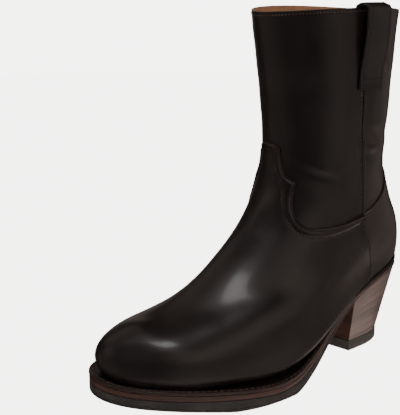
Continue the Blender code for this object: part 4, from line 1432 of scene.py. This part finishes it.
    def build_slider(self, finishes: Finishes) -> None:
        """Make the slider: a rounded body and the bail on it that holds the thong."""
        wide, tall, deep = self.slider
        off = self.overlay_gap + self.chain + self.clear + deep / 2.0
        place, side, up, out = self.axes(self.slider_rise, off)
        body = rounded_block((wide, tall, deep), 0.5, 12, 24)
        body[..., 0] *= 1.0 - self.waist * (1.0 - (body[..., 1] / (0.5 * tall)) ** 2)
        frame = np.stack([side, up, out])
        shape = Shape()
        shape.add(body @ frame + place, ring=True)
        turn = np.linspace(-0.15 * np.pi, 1.15 * np.pi, 25)
        half, high, seat = self.bail
        arch = np.stack([0.0 * turn, half * np.cos(turn), seat + high * np.sin(turn)], -1)
        shape.add(capped(tube(arch @ frame + place, self.wire, 10)), ring=True)
        settle(shape.build("zip_slider_brass", finishes.brass), Slot.METAL, "zip_slider")

    def build_thong(self, finishes: Finishes) -> None:
        """Make the thong: a lace that hangs from the slider, knotted on itself, with a second flared end."""
        deep = self.overlay_gap + self.chain + 2.0 * self.clear + self.slider[2] + self.thong_half
        top, side, _, out = self.axes(self.slider_rise, deep)

        def route(share: Array) -> Array:
            """Points that hang below the slider, swaying a little to the side and out."""
            share = np.asarray(share)[..., None]
            sway = self.thong_sway * np.sin(3.0 * share) * side
            return top + sway + self.thong_bulge * np.sin(np.pi * share) * out - self.thong_drop * share * UP

        path = route(np.linspace(0.0, 1.0, self.thong_points))
        curve = bpy.data.curves.new("zip_lace", "CURVE")
        curve.dimensions = "3D"
        curve.bevel_depth = self.thong_half * MM
        curve.bevel_resolution = 3
        curve.use_fill_caps = True
        spline = curve.splines.new("POLY")
        spline.points.add(len(path) - 1)
        spline.points.foreach_set("co", np.column_stack([path * MM, np.ones(len(path))]).ravel())
        curve.materials.append(finishes.lace)
        lace = bpy.data.objects.new("zip_lace", curve)
        bpy.context.scene.collection.objects.link(lace)
        settle(lace, Slot.POLISHED, "zip_thong")
        knot = self.build_knot(finishes, route(self.knot_share), np.stack([side, out, UP]))
        share = np.linspace(self.knot_share + 0.02, 0.93, 20)
        spread = np.linspace(0.0, 1.0, 20)[:, None]
        tail = route(share) + (2.4 * spread + 0.6) * side + 0.5 * out
        end = capped(tube(tail, 0.75 + 0.5 * spread[:, 0], 12, 0.75 - 0.2 * spread[:, 0]))
        second = lay("zip_lace_end", end, finishes.lace, Slot.POLISHED)

    def build_knot(self, finishes: Finishes, place: Array, frame: Array) -> Object:
        """Make the knot: a tube along a trefoil, the closed form of an overhand knot."""
        turn = np.arange(90) * FULL / 90.0
        ring = 1.0 + 0.45 * np.cos(3.0 * turn)
        loop = np.stack([ring * np.cos(2.0 * turn), ring * np.sin(2.0 * turn), 0.9 * np.sin(3.0 * turn)], -1)
        path = (loop * np.array(self.knot)) @ frame + place
        along = unit(np.roll(path, -1, 0) - np.roll(path, 1, 0))
        side = unit(np.cross(along, place - path + 0.3 * frame[2]))
        over = np.cross(along, side)
        sweep = np.arange(10) * FULL / 10.0
        rings = path[:, None] + 0.85 * (np.cos(sweep)[None, :, None] * side[:, None]
                                        + np.sin(sweep)[None, :, None] * over[:, None])
        return lay("zip_lace_knot", rings, finishes.lace, Slot.POLISHED, loop=True)


@dataclass
class Sole:
    """Insole, welt, rand, midsole and rubber outsole."""

    form: LastForm  # The lasted form, which holds the sole's lines
    points: int = 360  # Points round an outline
    stitch: float = 2.7  # Distance of the welt's stitch row from the sole's edge
    channel: float = 0.45  # Depth of the channel that the row lies in
    full: float = 6.0  # Width from which the welt keeps its full profile
    board: float = 3.4  # Thickness of the insole board
    board_inset: float = 3.0  # Distance of the board from the feather edge
    tuck: float = 1.2  # Distance that the welt goes in under the upper
    breast_gap: float = 0.3  # Gap between the heel's breast and the outsole
    # How far the sole's edge is cut back under the waist, by station
    bevel: Track = Track((56.0, 80.0, 104.0, 128.0), (0.0, 0.6, 0.2, 0.0))

    def at(self, outline: Array, height: Array | float) -> Array:
        """An outline's points at a height."""
        moved = outline.copy()
        moved[..., 2] = height
        return moved

    def plate(self, rings: list[Array]) -> Array:
        """A closed plate from rings from its upper to its lower edge: both faces draw in to a middle line."""
        top, under = (0.5 * (ring + ring[::-1]) for ring in (rings[0], rings[-1]))
        return np.stack([top, *rings, under])

    def layer(self, outline: list[Pair], top: Array, under: Array, angle: Array,
              cut: Pair = (0.0, 0.0)) -> list[Array]:
        """Rings of a layer's edge.

        Args:
            outline: Profile of the edge: share of the thickness from the top, and millimetres drawn in.
            top: Height of its upper side at each point.
            under: Height of its lower side.
            angle: Angles of the outline's points.
            cut: Shares of the waist's bevel at the upper and at the lower edge.

        Returns:
            The rings from top to bottom.
        """
        bevel = self.bevel.straight(self.form.station(self.form.edge(angle)))
        rings = []
        for share, inset in outline:
            edge = self.form.edge(angle, inset + bevel * (cut[0] + (cut[1] - cut[0]) * share))
            rings.append(self.at(edge, top + (under - top) * share))
        return rings

    def build(self, finishes: Finishes) -> None:
        """Make each layer."""
        sole = self.form.sole
        angle = (np.arange(self.points) + 0.5) * FULL / self.points
        station = self.form.station(self.form.edge(angle))
        bulge = [(0.0, 0.4), (0.05, 0.18), (0.16, 0.05), (0.35, 0.0), (0.65, 0.0), (0.84, 0.05), (0.95, 0.18),
                 (1.0, 0.4)]
        rings = self.layer(bulge, sole.midsole_top(station), sole.midsole_under(station), angle, (0.0, 1.0))
        lay("midsole_leather", self.plate(rings), finishes.edge, Slot.EDGE, "midsole")
        self.build_outsole(finishes)
        self.build_insole(finishes, angle)
        self.build_welt(finishes)

    def build_outsole(self, finishes: Finishes) -> None:
        """Make the rubber outsole: its side with a fine line near the tread, cut straight at the breast."""
        sole = self.form.sole
        start = float(sole.angle(sole.breast + self.breast_gap))
        half = start + (np.pi - start) * (np.arange(150) + 0.5) / 150.0
        half = np.concatenate([[start], half])
        angle = np.concatenate([half, FULL - half[::-1]])
        station = self.form.station(self.form.edge(angle))
        profile = [(0.0, 0.4), (0.03, 0.18), (0.1, 0.05), (0.3, 0.0), (0.6, 0.0), (0.66, 0.06), (0.69, 0.4),
                   (0.72, 0.4), (0.75, 0.06), (0.9, 0.1), (0.97, 0.4), (1.0, 1.0)]
        rings = self.layer(profile, sole.outsole_top(station), sole.tread(station), angle, (1.0, 2.4))
        lay("outsole_rubber", self.plate(rings), finishes.rubber, Slot.RUBBER, "outsole")

    def build_insole(self, finishes: Finishes, angle: Array) -> None:
        """Make the insole board with its leather sock."""
        sole = self.form.sole
        rings = []
        for share, inset in ((0.0, 1.0), (0.1, 0.3), (0.3, 0.0), (1.0, 0.0)):
            ring = self.form.feather(angle, self.board_inset + inset)
            low = sole.midsole_top(self.form.station(ring)) + sole.gap
            rings.append(self.at(ring, low + self.board * (1.0 - share)))
        lay("insole_sock", self.plate(rings), finishes.lining, Slot.INSOLE, "insole")

    def lines(self, angle: Array) -> tuple[Array, Array, Array, Array]:
        """The sole's edge, a strip's inner line, the way in, and a share that fits the strip where narrow."""
        outer = self.form.edge(angle)
        inner = self.form.feather(angle, self.tuck)
        fit = np.minimum(1.0, np.linalg.norm(inner - outer, axis=-1, keepdims=True) / self.full)
        return outer, inner, unit(inner - outer), fit

    def strip(self, angle: Array, top: list[Pair], edge: list[Pair]) -> Array:
        """Rings of the welt or rand, from under the upper out to the sole's edge and back below.

        Args:
            angle: Angles of the rings.
            top: Upper profile: millimetres in from the edge and height over the sole's upper side.
            edge: Edge profile: share of the thickness from the top, and millimetres out from the edge.

        Returns:
            The rings.
        """
        sole = self.form.sole
        outer, inner, inward, fit = self.lines(angle)
        level = sole.top(self.form.station(outer))
        under = sole.welt_under(self.form.station(outer))
        inner_level = sole.top(self.form.station(inner))
        columns = [self.at(inner, inner_level + sole.gap + self.form.rim_gap)]
        for distance, height in top:
            spot = outer + inward * distance * fit
            columns.append(self.at(spot, sole.top(self.form.station(spot)) + height))
        for share, out in edge:
            columns.append(self.at(outer - inward * out, level + (under - level) * share))
        columns.append(self.at(inner, inner_level - (level - under)))
        return np.stack(columns, 1)

    def build_welt(self, finishes: Finishes) -> None:
        """Make the welt with its sunk stitch row, and the rand that wedges in at the heel."""
        sole = self.form.sole
        start = float(sole.angle(sole.breast + self.breast_gap))
        deep = self.channel
        top = [(5.6, 0.0), (4.2, 0.0), (3.5, -0.1), (3.1, -deep), (self.stitch, -deep - 0.05), (2.3, -deep),
               (1.9, -0.1), (1.2, 0.0), (0.6, -0.05)]
        edge = [(0.08, -0.15), (0.2, 0.1), (0.45, 0.2), (0.7, 0.1), (0.9, 0.0), (1.0, -0.25)]
        rings = self.strip(np.linspace(start, FULL - start, 420), top, edge)
        # Painted shade: the upper side, under the upper's overhang, is marked, and its finish multiplies it
        # darker.
        mark = np.zeros(rings.shape[1])
        mark[:len(top)] = 1.0
        lay("welt_leather", capped(rings), finishes.welt, Slot.EDGE, "welt", mark=mark)
        outer, _, inward, fit = self.lines(np.linspace(start + 0.25, FULL - start - 0.25, 1600))
        path = outer + inward * self.stitch * fit
        path[:, 2] = sole.top(self.form.station(path)) - deep + 0.15
        rows = [(path, np.broadcast_to(UP, path.shape))]
        Stitching(pitch=4.0, length=3.0, half=0.5, arch=0.35).sew("welt_stitches", rows, finishes.linen)
        seat = float(sole.angle(sole.breast))
        edge = [(0.1, 0.0), (0.3, 0.25), (0.55, 0.3), (0.8, 0.15), (1.0, -0.2)]
        rings = self.strip(np.linspace(-seat, seat, 160), [(1.6, 0.1), (0.8, 0.05)], edge)
        lay("rand_leather", capped(rings), finishes.rand, Slot.RUBBER, "heel_rand")


@dataclass
class Heel:
    """The stacked leather heel, drawn in from the seat to the ground, and its rubber top lift."""

    form: LastForm
    breast_lift: float = 71.0  # Station of the lift's front
    half: float = 23.5  # Half the lift's width
    length: float = 51.0  # Its length
    round_share: float = 0.68  # Share of the length that its back's half ellipse takes
    across: float = 0.5  # Its middle's distance from the sole's axis
    turn: float = -7.0  # Degrees that it is turned
    lift: float = 7.6  # Thickness of the top lift
    layer: float = 5.6  # Thickness of a leather layer
    joint: Pair = (0.14, 0.28)  # Depth and width of the groove between two layers
    seat_inset: float = 0.6  # Distance of its upper edge from the sole's edge
    start: float = 0.02  # Distance of the first point from the sole's back
    levels: int = 200  # Rings between the seat and the lift
    steps: int = 70  # Points along a side
    breast_steps: int = 26  # Points across the breast
    corner: float = 0.008  # Share of a side at which the breast's corner is held

    def ground(self, share: Array) -> Array:
        """Outline of the lift from back to breast, outer and inner side: a half ellipse, then straight."""
        sweep = np.arccos(np.clip(1.0 - share / self.round_share, -1.0, 1.0))
        half = self.half * np.where(share < self.round_share, np.sin(sweep), 1.0)
        back = -self.length * (1.0 - share)
        turn = np.radians(self.turn)
        sides = []
        for side in (1.0, -1.0):
            across = self.across + side * half * np.cos(turn) - back * np.sin(turn)
            station = self.breast_lift + side * half * np.sin(turn) + back * np.cos(turn)
            sides.append(self.form.world(np.stack([across, station, 0.0 * across], -1)))
        return np.stack(sides)

    def seat(self, station: Array, inset: float) -> Array:
        """Outline of the seat: outer and inner side of the sole's edge at the heel's upper side."""
        angle = self.form.sole.angle(station)
        sides = np.stack([self.form.edge(angle, inset), self.form.edge(FULL - angle, inset)])
        sides[..., 2] = self.form.sole.outsole_top(self.form.station(sides))
        return sides

    def closed(self, sides: Array) -> Array:
        """One ring: outer side from breast to back, inner side to the breast, then straight across it."""
        outer, inner = sides
        share = np.linspace(self.corner, 1.0 - self.corner, self.breast_steps)[:, None]
        return np.concatenate([outer[::-1], inner, inner[-1] + (outer[-1] - inner[-1]) * share])

    def block(self, top: Array, under: Array, levels: Array, out: Array) -> Array:
        """A closed block between two rings: straight walls, each level pushed out a little, drawn-in ends.

        Args:
            top: Upper ring.
            under: Lower ring.
            levels: Shares of the way down.
            out: Millimetres that each level stands out.

        Returns:
            Grid of rings.
        """
        wall = top + (under - top) * levels[:, None, None]
        away = wall - wall.mean(1, keepdims=True)
        away[..., 2] = 0.0
        return capped(wall + unit(away) * out[:, None, None])

    def build(self, finishes: Finishes) -> None:
        """Make the stack with its layers, and the lift."""
        sole = self.form.sole
        share = (1.0 - np.cos(np.linspace(0.0, np.pi / 2.0, self.steps))) ** 0.9
        share = np.append(share / share[-1], [1.0 - self.corner, 1.0])
        share = np.sort(np.delete(share, self.steps - 1))
        ring = self.closed(self.ground(share))
        lifted = ring + UP * (self.lift + sole.gap)
        back = sole.heel + self.start
        seat = self.closed(self.seat(back + (sole.breast - back) * share, self.seat_inset))
        levels = np.linspace(0.0, 1.0, self.levels)
        tall = (seat[:, 2].mean() - self.lift) * (1.0 - levels) + self.lift
        joint = np.abs((tall / self.layer + 0.5) % 1.0 - 0.5) * self.layer
        out = -self.joint[0] * bell(joint, self.joint[1])
        out[[0, -1]] = -0.25
        # Painted shade: the breast's points are marked, and the finish multiplies them darker and more
        # orange.
        mark = np.zeros(len(ring))
        mark[-self.breast_steps:] = 1.0
        lay("heel_stack_leather", self.block(seat, lifted, levels, out), finishes.stack, Slot.STACK,
            "heel_stack", mark=mark, sharp=30.0)
        levels = np.array([0.0, 0.04, 0.12, 0.5, 0.88, 0.96, 1.0])
        out = np.array([-0.5, -0.15, 0.0, 0.0, 0.0, -0.15, -0.5])
        lay("top_lift_rubber", self.block(ring + UP * self.lift, ring, levels, out), finishes.lift,
            Slot.RUBBER, "heel_top_lift", sharp=30.0)


def heading(azimuth: float, climb: float) -> Vector:
    """Direction from the boot at an azimuth (0 toe, 90 outer side) and an elevation, in degrees."""
    azimuth, climb = np.radians([azimuth, climb])
    return Vector((np.sin(azimuth) * np.cos(climb), -np.cos(azimuth) * np.cos(climb), np.sin(climb)))


@dataclass(frozen=True)
class Softbox:
    """A soft studio light that faces the boot."""

    name: str  # Its name
    azimuth: float  # Direction from the boot, in degrees
    climb: float  # Elevation in degrees
    reach: float  # Distance in metres
    size: Pair  # Width and height in metres
    glow: float  # Radiance of its face
    mirrored: bool = True  # Whether polished leather mirrors it; a fill light only brightens


@dataclass(frozen=True)
class Glow:
    """A pale part of the surroundings: a soft disc about a direction."""

    azimuth: float  # Direction of its middle, in degrees
    climb: float  # Elevation of its middle
    core: float  # Degrees from the middle at which it begins to fade
    rim: float  # Degrees at which it has faded out
    light: float  # Its brightness


@dataclass
class Studio:
    """Pale floor that rises into a backdrop, soft lights and the camera."""

    eye: Triple = (491.3, -434.9, 254.1)  # Camera position in millimetres
    target: Triple = (-42.69, -23.66, 105.95)  # Point that it looks at
    lens: float = 87.7  # Focal length on a 36 mm sensor
    roll: float = -0.16  # Roll about its axis, in degrees
    dim: float = 0.028  # Brightness of the surroundings between the pale parts
    tint: str = "#ffe9de"  # Colour of the surroundings
    floor: tuple[str, str] = ("#f4f3f1", "#fbfaf9")  # Colours of the floor's mottle
    flat: float = 2400.0  # Radius of the floor's flat part
    bend: float = 1200.0  # Radius of the bend up into the backdrop
    tall: float = 4200.0  # Height of the backdrop
    floor_light: float = 1.1  # Light that the floor gives by itself
    paper_light: float = 5.0  # Light of the white paper that the camera sees in its place
    # The softboxes
    lights: tuple[Softbox, ...] = (
        Softbox("overhead_softbox", 2.0, 79.5, 1.2, (0.36, 0.36), 5.5),
        Softbox("outer_fill", 70.0, 25.0, 1.6, (0.9, 0.9), 0.5, False),
    )
    # Pale parts of the surroundings
    glows: tuple[Glow, ...] = (
        Glow(112.0, 8.0, 20.0, 60.0, 0.25),
        Glow(80.0, 45.0, 8.0, 30.0, 0.45),
        Glow(118.0, 38.0, 6.0, 26.0, 0.25),
        Glow(84.0, -48.0, 10.0, 34.0, 0.45),
        Glow(40.0, -55.0, 10.0, 36.0, 0.4),
        Glow(122.0, -30.0, 6.0, 26.0, 0.15),
        Glow(72.0, -14.0, 8.0, 22.0, 0.15),
        Glow(150.0, 15.0, 6.0, 24.0, 0.15),
        Glow(168.0, -46.0, 10.0, 28.0, 1.1),
        Glow(176.0, -8.0, 8.0, 30.0, 0.2),
        Glow(-86.0, 42.0, 5.0, 24.0, 0.3),
        Glow(-125.0, 5.0, 6.0, 22.0, 0.3),
        Glow(-36.0, 38.0, 5.0, 22.0, 0.45),
        Glow(-32.0, -10.0, 15.0, 45.0, 0.15),
        Glow(60.0, 75.0, 5.0, 20.0, 0.4),
        Glow(-60.0, 75.0, 5.0, 20.0, 0.4),
    )
    aim: Triple = (0.0, 0.0, 0.1)  # Point that the lights face, in metres

    def build(self) -> None:
        """Make the stage, lights and camera."""
        self.build_floor()
        for light in self.lights:
            self.build_light(light)
        self.build_surroundings()
        self.build_camera()

    def build_surroundings(self) -> None:
        """Make the room: dim, with pale parts as soft discs that add up."""
        room = bpy.context.scene.world or bpy.data.worlds.new("studio")
        bpy.context.scene.world = room
        room.use_nodes = True
        tree = room.node_tree
        back = tree.nodes["Background"]
        back.inputs["Color"].default_value = linear(self.tint)
        look = add_node(tree, "TexCoord", out="Generated")
        total = add_node(tree, "Value")
        total.default_value = self.dim
        for glow in self.glows:
            near = add_node(tree, "VectorMath", {1: heading(glow.azimuth, glow.climb)}, {0: look}, "Value",
                            operation="DOT_PRODUCT")
            core, rim = np.cos(np.radians([glow.core, glow.rim]))
            disc = add_node(tree, "MapRange", {"From Min": rim, "From Max": core, "To Max": glow.light},
                            {"Value": near}, interpolation_type="SMOOTHSTEP")
            total = add_node(tree, "Math", {}, {0: total, 1: disc}, operation="ADD")
        tree.links.new(total, back.inputs["Strength"])

    def build_floor(self) -> None:
        """Make the floor: a flat disc whose rim turns up as a quarter circle into a wall, swept round."""
        turn = np.arange(96) * FULL / 96.0
        bend = np.linspace(0.0, np.pi / 2.0, 14)
        rim = self.flat + self.bend * np.sin(bend)
        reach = np.concatenate([self.flat * np.array([0.0, 0.25, 0.625]), rim, rim[-1:]])
        tall = np.concatenate([np.zeros(3), self.bend * (1.0 - np.cos(bend)), [self.tall]])
        points = np.stack([reach[:, None] * np.cos(turn), reach[:, None] * np.sin(turn),
                           tall[:, None] + 0.0 * turn], -1)
        pale, white = (linear(code) for code in self.floor)
        for name, light, seen in (("studio_floor", self.floor_light, False),
                                  ("studio_paper", self.paper_light, True)):
            material, tree, shader, place = Finish(f"matt_{name}").start()
            mottle = add_node(tree, "TexNoise", {"Scale": per_mm(40.0)}, {"Vector": place})
            color = add_node(tree, "Mix", {6: pale, 7: white}, {0: mottle}, 2, data_type="RGBA")
            tree.links.new(color, shader.inputs["Base Color"])
            for socket, value in (("Roughness", 0.85), ("Emission Color", pale),
                                  ("Emission Strength", light)):
                shader.inputs[socket].default_value = value
            shape = Shape()
            shape.add(points, ring=True)
            floor = shape.build(name, material)
            floor.visible_glossy = False
            floor.visible_camera = seen
            floor.visible_diffuse = not seen
            floor.visible_shadow = not seen

    def build_light(self, light: Softbox) -> None:
        """Place a softbox: its power is pi times its face's area times its radiance."""
        lamp = bpy.data.lights.new(light.name, "AREA")
        lamp.shape = "RECTANGLE"
        lamp.size, lamp.size_y = light.size
        lamp.energy = np.pi * light.size[0] * light.size[1] * light.glow
        away = heading(light.azimuth, light.climb)
        item = bpy.data.objects.new(light.name, lamp)
        item.location = Vector(self.aim) + away * light.reach
        item.rotation_euler = away.to_track_quat("Z", "Y").to_euler()
        item.visible_camera = False
        item.visible_glossy = light.mirrored
        bpy.context.scene.collection.objects.link(item)

    def build_camera(self) -> None:
        """Make the camera at the photograph's angle and framing."""
        data = bpy.data.cameras.new("camera")
        data.lens = self.lens
        data.sensor_width = 36.0
        data.clip_start = 0.01
        item = bpy.data.objects.new("camera", data)
        eye = Vector(self.eye) * MM
        back = eye - Vector(self.target) * MM
        turn = back.to_track_quat("Z", "Y").to_matrix().to_4x4()
        item.matrix_world = Matrix.Translation(eye) @ turn @ Matrix.Rotation(np.radians(self.roll), 4, "Z")
        bpy.context.scene.collection.objects.link(item)
        bpy.context.scene.camera = item


def main() -> None:
    """Load the frame, build the boot's pieces in order and note the sizes."""
    logging.basicConfig(level=logging.INFO, format="%(message)s")
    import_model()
    finishes = Finishes()
    form = LastForm()
    Studio().build()
    for piece in (Zip(form), Upper(form), Vamp(form), Counter(form), PullStrap(form), Sole(form), Heel(form)):
        piece.build(finishes)
        LOG.info("%s is done", type(piece).__name__)


if __name__ == "__main__":
    main()
